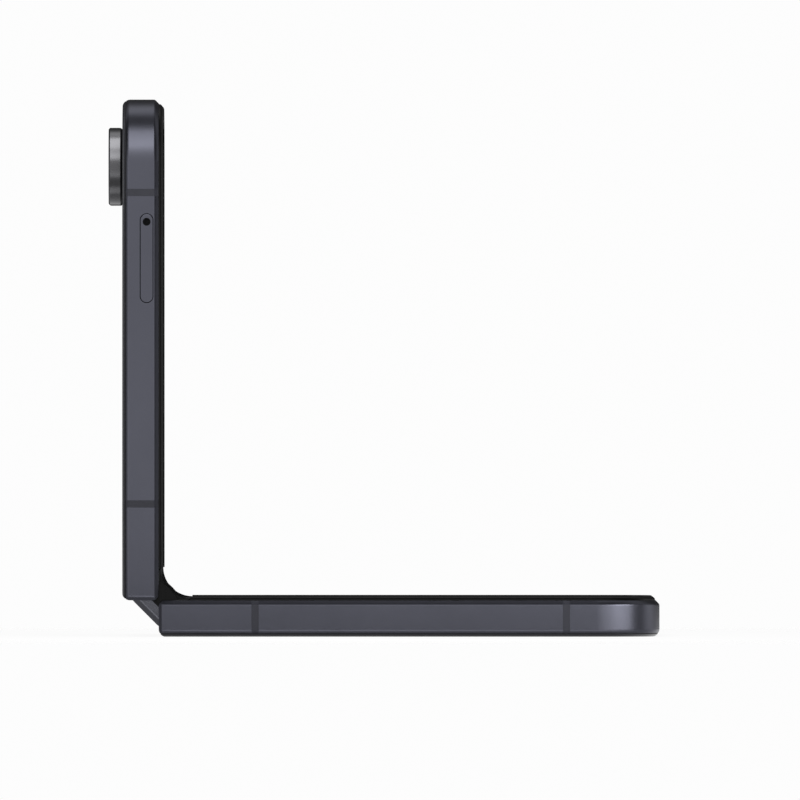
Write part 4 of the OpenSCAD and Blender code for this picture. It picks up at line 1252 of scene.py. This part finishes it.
class PHONE_OT_cameras(bpy.types.Operator):
    """Builds the camera rings, their windows, barrels and lenses, and the flash"""

    bl_idname = "phone.cameras"
    bl_label = "Cameras"

    def execute(self, context):
        plan, kit = prepared(context)
        face, back = plan.ring_face, plan.back
        ring, neck, window, flash = plan.ring, plan.neck, plan.window, plan.flash - 0.02
        bed, seat = plan.glass_top + 0.33, face + 0.73
        places = [(plan.camera_x, y, 0) for y in plan.camera_y]

        def pair(name, finish_name, slot, points, steps, nodes, *more, **settings):
            shapes = [turned(points, at, steps, **settings) for at in places]
            settled([*shapes, *more], name, "upper", [kit[finish_name]], nodes)

        outline = [
            (window + 0.02, face + 0.16), (window + 0.16, face), (ring - 0.25, face), (ring, face + 0.22),
            (ring, back - 0.62), (ring - 0.33, back - 0.15), (neck - 0.02, back - 0.1), (neck - 0.02, bed),
            (4.62, bed), (4.62, seat), (window + 0.02, seat),
        ]
        pair("camera_ring_pair", "ring", "camera_metal", outline, 128, ["camera_rings"], ring_round=0.045)
        pane = [(0, 0.18), (window - 0.12, 0.18), (window - 0.02, 0.26), (window - 0.02, 0.5), (0, 0.5)]
        pane = [(r, face + z) for r, z in pane]
        pair("camera_window_pair", "window", "lens_glass", pane, 96, ["camera_lenses"])
        barrel = [
            (0, 2.0), (1.9, 2.0), (1.9, 1.55), (2.25, 1.5), (2.3, 1.25), (2.9, 1.2), (2.95, 1.0), (3.6, 0.95),
            (3.65, 0.78), (4.3, 0.74), (4.55, 0.74),
        ]
        barrel = [(r, face + z) for r, z in barrel] + [(4.55, bed), (4.2, bed + 0.02), (0, bed + 0.02)]
        boxes = [
            soft_block((x - 5.2, y - 5.2, bed), (x + 5.2, y + 5.2, plan.plate_bottom), 0.25)
            for x, y, _ in places
        ]
        pair("camera_barrel_pair", "barrel", "module_plastic", barrel, 96, ["camera_modules"], *boxes)
        bow = [i * math.pi / 24 for i in range(13)]
        dome = [(2.15 * math.sin(a), face + 1.95 - 0.75 * math.cos(a)) for a in bow] + [(0, face + 1.95)]
        pair("camera_front_lenses", "lens", "lens_glass", dome, 64, ())
        ribs = [(0, back + 0.02)]
        for i in range(1, 8):
            ribs += [(i * flash / 8, back + 0.03), (i * flash / 8 + 0.03, back + 0.1)]
        ribs += [(flash, back + 0.02), (flash, back + 0.88), (0, back + 0.88)]
        settled(
            turned(ribs, (plan.camera_x, plan.flash_y, 0), 64), "flash_lens", "upper", [kit["flash"]],
            ["flash_window"],
        )
        return {"FINISHED"}


class PHONE_OT_front_camera(bpy.types.Operator):
    """Builds the front camera in its hole in the screen"""

    bl_idname = "phone.front_camera"
    bl_label = "Front camera"

    def execute(self, context):
        plan, kit = prepared(context)
        reach, top, low = plan.eye - 0.04, plan.screen - 0.02, plan.plate_bottom
        steps = [
            (0, 0.5), (0.85, 0.5), (0.9, 0.3), (1.15, 0.24), (1.2, 0.1), (1.45, 0.05), (reach - 0.06, 0),
            (reach, 0.06),
        ]
        barrel = [(r, top - z) for r, z in steps] + [(reach, low - 0.02), (0, low - 0.02)]
        at = (plan.eye_x, 0, 0)
        box = soft_block((plan.eye_x - 2.7, -2.7, -3), (plan.eye_x + 2.7, 2.7, low), 0.2)
        settled(
            [turned(barrel, at, 64), box], "front_camera_barrel", "upper", [kit["barrel"]],
            ["selfie_camera"],
        )
        bow = [i * math.pi / 16 for i in range(9)]
        dome = [(0.84 * math.sin(a), top - 0.52 + 0.3 * math.cos(a)) for a in bow] + [(0, top - 0.52)]
        settled(turned(dome, at, 48), "front_camera_lens", "upper", [kit["eye"]])
        return {"FINISHED"}


class PHONE_OT_tray(bpy.types.Operator):
    """Builds the card tray with its eject hole"""

    bl_idname = "phone.tray"
    bl_label = "Card tray"

    def execute(self, context):
        plan, kit = prepared(context)
        x, z = plan.tray_x, TRAY_Z
        side, y0 = plan.side, plan.rail - plan.side
        hole_x = x + plan.tray / 2 - EJECT_FROM_END
        face = pill(plan.tray, plan.tray_width, y0, -side, x, z, 12, 0.07)
        face = carved(face, [along_width(pin(plan.eject, 0, side + 2, 32), hole_x, z)])
        well = block((x - 4.5, y0 + 0.8, z - 1), (x + 4.5, y0 + 13.1, z + 1))
        round_off(well, [e for e in well.edges if across(e, 2) > 1], 0.8, 4)
        leaf = carved(block((x - 6, y0 - 0.05, z - 0.42), (x + 6, y0 + 14, z + 0.42)), [well])
        # A black cup inside the eject hole paints the shade in the hole.
        reach, top, low = plan.eject - 0.01, side - 0.06, side - plan.rail + 0.06
        wall = reach - 0.04
        cup = [(0, low), (reach, low), (reach, top), (wall, top), (wall, low + 0.05), (0, low + 0.05)]
        eject_hole_shade = painted(along_width(turned(cup, steps=32), hole_x, z), 1)
        settled(
            [face, leaf, eject_hole_shade], "card_tray_body", "upper", [kit["metal"], kit["seam"]],
            ["sim_tray"], body="card_tray",
        )
        return {"FINISHED"}


def key(plan, x, size, out, flange, plungers, pivot=0.0):
    """A side key: its cap, its flange behind the rail and the plungers on it."""
    inner = plan.side - plan.rail - 0.7
    parts = [
        pill(size, plan.key_width, inner + 0.3, plan.side + out, x, KEY_Z, 12, 0.16),
        soft_block((x - flange, inner, KEY_Z - 1.4), (x + flange, inner + 0.6, KEY_Z + 1.4), 0.1),
    ]
    for off in plungers:
        parts.append(along_width(pin(0.6, -inner - 0.8, -inner + 0.15, 24), x + off, KEY_Z))
    if pivot:
        parts.append(pin(pivot, KEY_Z - 1.4, KEY_Z + 1.4, 24, (x, inner + 0.3)))
    return parts


class PHONE_OT_keys(bpy.types.Operator):
    """Builds the volume rocker and the power key"""

    bl_idname = "phone.keys"
    bl_label = "Keys"

    def execute(self, context):
        plan, kit = prepared(context)
        volume = key(plan, plan.volume_x, plan.volume, 0.45, 3, (-6, 6), 0.38)
        power = key(plan, plan.power_x, plan.power, 0.25, 6, (0,))
        for shape, name, metal, node, body in (
            (volume, "volume_rocker_key", "metal", "volume_key", "volume_rocker"),
            (power, "power_reader_key", "reader", "power_key", "power_button"),
        ):
            settled(shape, name, "upper", [kit[metal]], [node], body=body)
        return {"FINISHED"}


class PHONE_OT_socket(bpy.types.Operator):
    """Builds the charging socket and its tongue with the contacts"""

    bl_idname = "phone.socket"
    bl_label = "Charging socket"

    def execute(self, context):
        plan, kit = prepared(context)
        wide, high, z = plan.port - 0.02, plan.port_height - 0.02, plan.port_z
        mouth = plan.free - 0.3
        deep, inside = mouth - SOCKET_DEPTH, 2 * SOCKET_WALL
        tube = through_end(oval(wide, high, deep, mouth, 16), 0, z)
        bore = through_end(oval(wide - inside, high - inside, deep + inside, mouth + 1, 16), 0, z)
        tube = carved(tube, [bore])
        round_off(tube, chosen(tube, level(0, mouth)), 0.08, 2)
        settled(tube, "socket_shell", "lower", [kit["steel"]], ["usb_port_shell"])
        tongue = block((deep + inside, -3.35, z - 0.35), (mouth - TONGUE_BACK, 3.35, z + 0.35))
        round_off(tongue, chosen(tongue, level(0, mouth - TONGUE_BACK)), 0.2, 3)
        contacts = [
            painted(block((mouth - 3.8, y - 0.12, z + s * 0.34), (mouth - 1.2, y + 0.12, z + s * 0.375)), 1)
            for y in [CONTACT_FIRST + CONTACT_PITCH * i for i in range(CONTACTS)] for s in (-1, 1)
        ]
        settled(
            [tongue, *contacts], "socket_tongue", "lower", [kit["port"], kit["gold"]],
            ["usb_port_tongue"],
        )
        return {"FINISHED"}


# The finishes inside: name, maker, base colour, settings, and the CAD nodes that have it
INSIDE = (
    ("cell_foil", cell_foil, (0.05, 0.05, 0.055), {}, "lower_battery upper_battery"),
    ("printed_board", printed_board, (0.012, 0.075, 0.035), {}, "sub_board main_board"),
    (
        "coil_copper", wound_copper, (0.62, 0.26, 0.11), {"centre": (-1.29, SPINE_Y), "pitch": 0.55},
        "charging_coil",
    ),
    (
        "speaker_box", moulded, (0.02, 0.02, 0.021), {"rough": 0.5, "grain": 0.02},
        "main_speaker earpiece_speaker",
    ),
    (
        "can_metal", machined, (0.55, 0.55, 0.56), {"rough": 0.32, "size": 0.8},
        "bottom_microphone vibration_motor shield_cans sim_reader",
    ),
    (
        "magnet_nickel", machined, (0.5, 0.49, 0.46), {"rough": 0.2, "size": 0.5},
        "lower_magnets upper_magnets",
    ),
    ("switch_gold", machined, (0.6, 0.42, 0.12), {"rough": 0.3}, "key_switches"),
    ("cover_screen", dark_screen, (0.004, 0.004, 0.005), {}, "cover_display"),
    (
        "screw_steel", machined, (0.36, 0.355, 0.35), {"rough": 0.28},
        "lower_board_screws upper_board_screws lower_hinge_screws upper_hinge_screws bracket_screws",
    ),
    (
        "hinge_steel", machined, (0.3, 0.3, 0.305), {"rough": 0.34},
        "lower_hinge_arms upper_hinge_arms lower_hinge_shafts upper_hinge_shafts hinge_brackets",
    ),
    ("wing_steel", machined, (0.2, 0.2, 0.205), {"rough": 0.42}, "lower_wing_plate upper_wing_plate"),
    ("spring_steel", machined, (0.42, 0.42, 0.44), {"rough": 0.2, "size": 6.0}, "hinge_springs"),
    (
        "gear_steel", machined, (0.45, 0.42, 0.36), {"rough": 0.3, "size": 4.0},
        "lower_hinge_gears upper_hinge_gears lower_idler_gears upper_idler_gears",
    ),
)


class PHONE_OT_inside(bpy.types.Operator):
    """Gives the CAD pieces inside their finishes"""

    bl_idname = "phone.inside"
    bl_label = "Inside pieces"

    def execute(self, context):
        for name, build, base, settings, nodes in INSIDE:
            for node in nodes.split():
                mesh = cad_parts[node].data
                mesh.materials.clear()
                mesh.materials.append(finish(name, build, base, **settings))
        return {"FINISHED"}


class PHONE_OT_stage(bpy.types.Operator):
    """Sets up the camera, the floor, the lamps and the world"""

    bl_idname = "phone.stage"
    bl_label = "Studio"

    def execute(self, context):
        scene, studio = context.scene, context.scene.phone_studio
        data = bpy.data.cameras.new("camera")
        data.lens = studio.lens
        data.sensor_width = 36
        data.clip_start, data.clip_end = 0.1, 20
        scene.camera = placed("camera", data)
        away = studio.view_width * studio.lens / data.sensor_width
        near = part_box("upper_frame")[0][1]
        scene.camera.location = (studio.centre_x, near - away, studio.centre_z)
        scene.camera.rotation_euler = (math.pi / 2, 0, 0)

        bm = bmesh.new()
        bmesh.ops.create_circle(bm, cap_ends=True, segments=96, radius=studio.floor * 1.02)
        floor = holder(bm, "floor")
        floor.location.z = -0.00002
        floor.data.materials.append(finish("floor_paper", paper, studio.floor))

        pieces = [obj for obj in scene.collection.all_objects if obj.type == "MESH"]
        for name, place, aim, size, brightness, pattern in LAMPS:
            data = bpy.data.lights.new(name, "AREA")
            data.shape = "RECTANGLE"
            data.size, data.size_y = size
            data.energy = brightness * math.pi * size[0] * size[1]
            lamp = placed(name, data)
            lamp.location = place
            lamp.rotation_euler = (Vector(place) - Vector(aim)).to_track_quat("Z", "Y").to_euler()
            lamp.visible_camera = False
            lit = bpy.data.collections.new(name)
            for piece in pieces:
                if re.match(pattern, piece.name):
                    lit.objects.link(piece)
            lamp.light_linking.receiver_collection = lit

        scene.world = bpy.data.worlds.new("studio")
        surround(Finish(scene.world))
        scene.view_settings.view_transform = "Standard"
        return {"FINISHED"}


# Name, place, aim, size and brightness of each lamp, and the names of the pieces that it lights
LAMPS = (
    ("upper_box", (-0.03, -0.179, 0.224), (-0.03, -0.037, 0.085), (0.2, 0.145), 2.1, "(?!lower_|.*_screen_)"),
    ("lower_box", (0.198, -0.17, 0.078), (0.052, -0.037, 0.003), (0.145, 0.15), 5.2, "lower_(?!screen_)"),
    ("lower_fill", (0.138, -0.33, 0.05), (0.052, -0.037, 0.003), (0.15, 0.15), 1.5, "lower_(?!screen_)"),
    ("ring_box", (-0.05, -0.145, 0.655), (-0.04, 0.01, 0.075), (0.5, 0.42), 3.6, "camera_ring_pair"),
    ("ring_reflector", (-0.05, -0.01, 0.004), (-0.04, 0.01, 0.07), (0.1, 0.03), 1.0, "camera_ring_pair"),
)


def paper(f, reach):
    """White paper that fades out into the surround at its edge and keeps the shadow.

    The soft boxes in it are for reflections alone, and go by the reflected ray's own direction.
    """
    spot = f.add("ShaderNodeTexCoord", output="Object")
    x, y, _ = f.axes(spot)
    left = ((reach - (x * x + y * y) ** 0.5) / (0.45 * reach)).clamped()
    _, ahead, steep = f.axes(f.add("ShaderNodeNewGeometry", output="Incoming"))
    boxes = f.ramp(steep, *[(height, grey(v / 2)) for height, v in SOFT_FLOOR])
    boxes = f.blend((1.2 * ahead).clamped(), grey(0.18), boxes)
    boxes = f.blend((-1.2 * ahead).clamped(), boxes, grey(0.45))
    glow = f.glow("ShaderNodeEmission", boxes, 2.0 * f.rays("Is Glossy Ray"))
    seen = f.rays("Is Camera Ray", "Is Transmission Ray")
    plain = f.glow("ShaderNodeEmission", (*WHITE, 1), 0.92 * seen)
    glows = f.add("ShaderNodeAddShader", {}, {0: glow, 1: plain})
    fibre = f.blend(f.noise(spot, 900.0), grey(0.12), grey(0.14))
    sheet = f.add("ShaderNodeBsdfDiffuse", {}, {"Color": fibre})
    lit = f.add("ShaderNodeAddShader", {}, {0: glows, 1: sheet})
    gone = f.add("ShaderNodeBsdfTransparent", {}, {"Color": (*WHITE, 1)})
    above = 1 - f.add("ShaderNodeNewGeometry", output="Backfacing")
    mixed = f.add("ShaderNodeMixShader", {}, {"Fac": left * above, 1: gone, 2: lit})
    f.add("ShaderNodeOutputMaterial", {}, {"Surface": mixed})
    return f.owner


def surround(f):
    """White to the camera, and a cross of soft boxes round the photographer to the metal."""
    x, y, z = f.axes(f.add("ShaderNodeTexCoord", output="Generated"))
    off_axis = y.calc("ARCCOSINE", y * -1.0) / math.pi
    boxes = f.ramp(off_axis, *[(angle / 180, grey(v / 4)) for angle, v in SOFT_BOXES])
    cross = (1 - 2.2 * (x * x * z * z) ** 0.5).at_least(0.3)
    glow = f.glow("ShaderNodeBackground", f.blend(cross, BLACK, boxes), 4.0)
    plain = f.glow("ShaderNodeBackground", (*grey(0.98), 1), 1.0)
    seen = f.rays("Is Camera Ray", "Is Transmission Ray")
    mixed = f.add("ShaderNodeMixShader", {}, {"Fac": seen, 1: glow, 2: plain})
    f.add("ShaderNodeOutputWorld", {}, {"Surface": mixed})


# Brightness of the surround by the angle from the camera's side, in degrees
SOFT_BOXES = (
    (0, 0.98), (14, 1.0), (22, 1.4), (34, 1.4), (44, 0.4), (60, 0.2), (94, 0.2), (102, 1.4),
    (118, 1.4), (128, 0.35), (142, 0.08), (170, 0.05), (174, 0.03),
)

# Brightness of the paper in the metal by the sine of the angle at which it's seen
SOFT_FLOOR = ((0, 0.04), (0.16, 0.04), (0.26, 1.6), (0.44, 1.6), (0.58, 0.3), (1, 0.3))

OPERATORS = (
    PHONE_OT_rails,
    PHONE_OT_strips,
    PHONE_OT_backs,
    PHONE_OT_rims,
    PHONE_OT_screens,
    PHONE_OT_fold_screen,
    PHONE_OT_flex_cable,
    PHONE_OT_spine,
    PHONE_OT_caps,
    PHONE_OT_cameras,
    PHONE_OT_front_camera,
    PHONE_OT_tray,
    PHONE_OT_keys,
    PHONE_OT_socket,
    PHONE_OT_inside,
    PHONE_OT_stage,
)


class PHONE_PT_sidebar(bpy.types.Panel):
    """Lists the sizes, the finishes and the pieces"""

    bl_idname = "PHONE_PT_sidebar"
    bl_label = "Folding phone"
    bl_space_type = "VIEW_3D"
    bl_region_type = "UI"
    bl_category = "Phone"

    def draw(self, context):
        for name, group in GROUPS.items():
            box = self.layout.box()
            for field in group.__annotations__:
                box.prop(getattr(context.scene, name), field)
        for operator in OPERATORS:
            self.layout.operator(operator.bl_idname)


def register():
    for name, group in GROUPS.items():
        bpy.utils.register_class(group)
        setattr(bpy.types.Scene, name, PointerProperty(type=group))
    for operator in OPERATORS:
        bpy.utils.register_class(operator)
    bpy.utils.register_class(PHONE_PT_sidebar)


def unregister():
    bpy.utils.unregister_class(PHONE_PT_sidebar)
    for operator in reversed(OPERATORS):
        bpy.utils.unregister_class(operator)
    for name, group in GROUPS.items():
        delattr(bpy.types.Scene, name)
        bpy.utils.unregister_class(group)


def main():
    register()
    for operator in OPERATORS:
        group, name = operator.bl_idname.split(".")
        getattr(getattr(bpy.ops, group), name)()


if __name__ == "__main__":
    main()
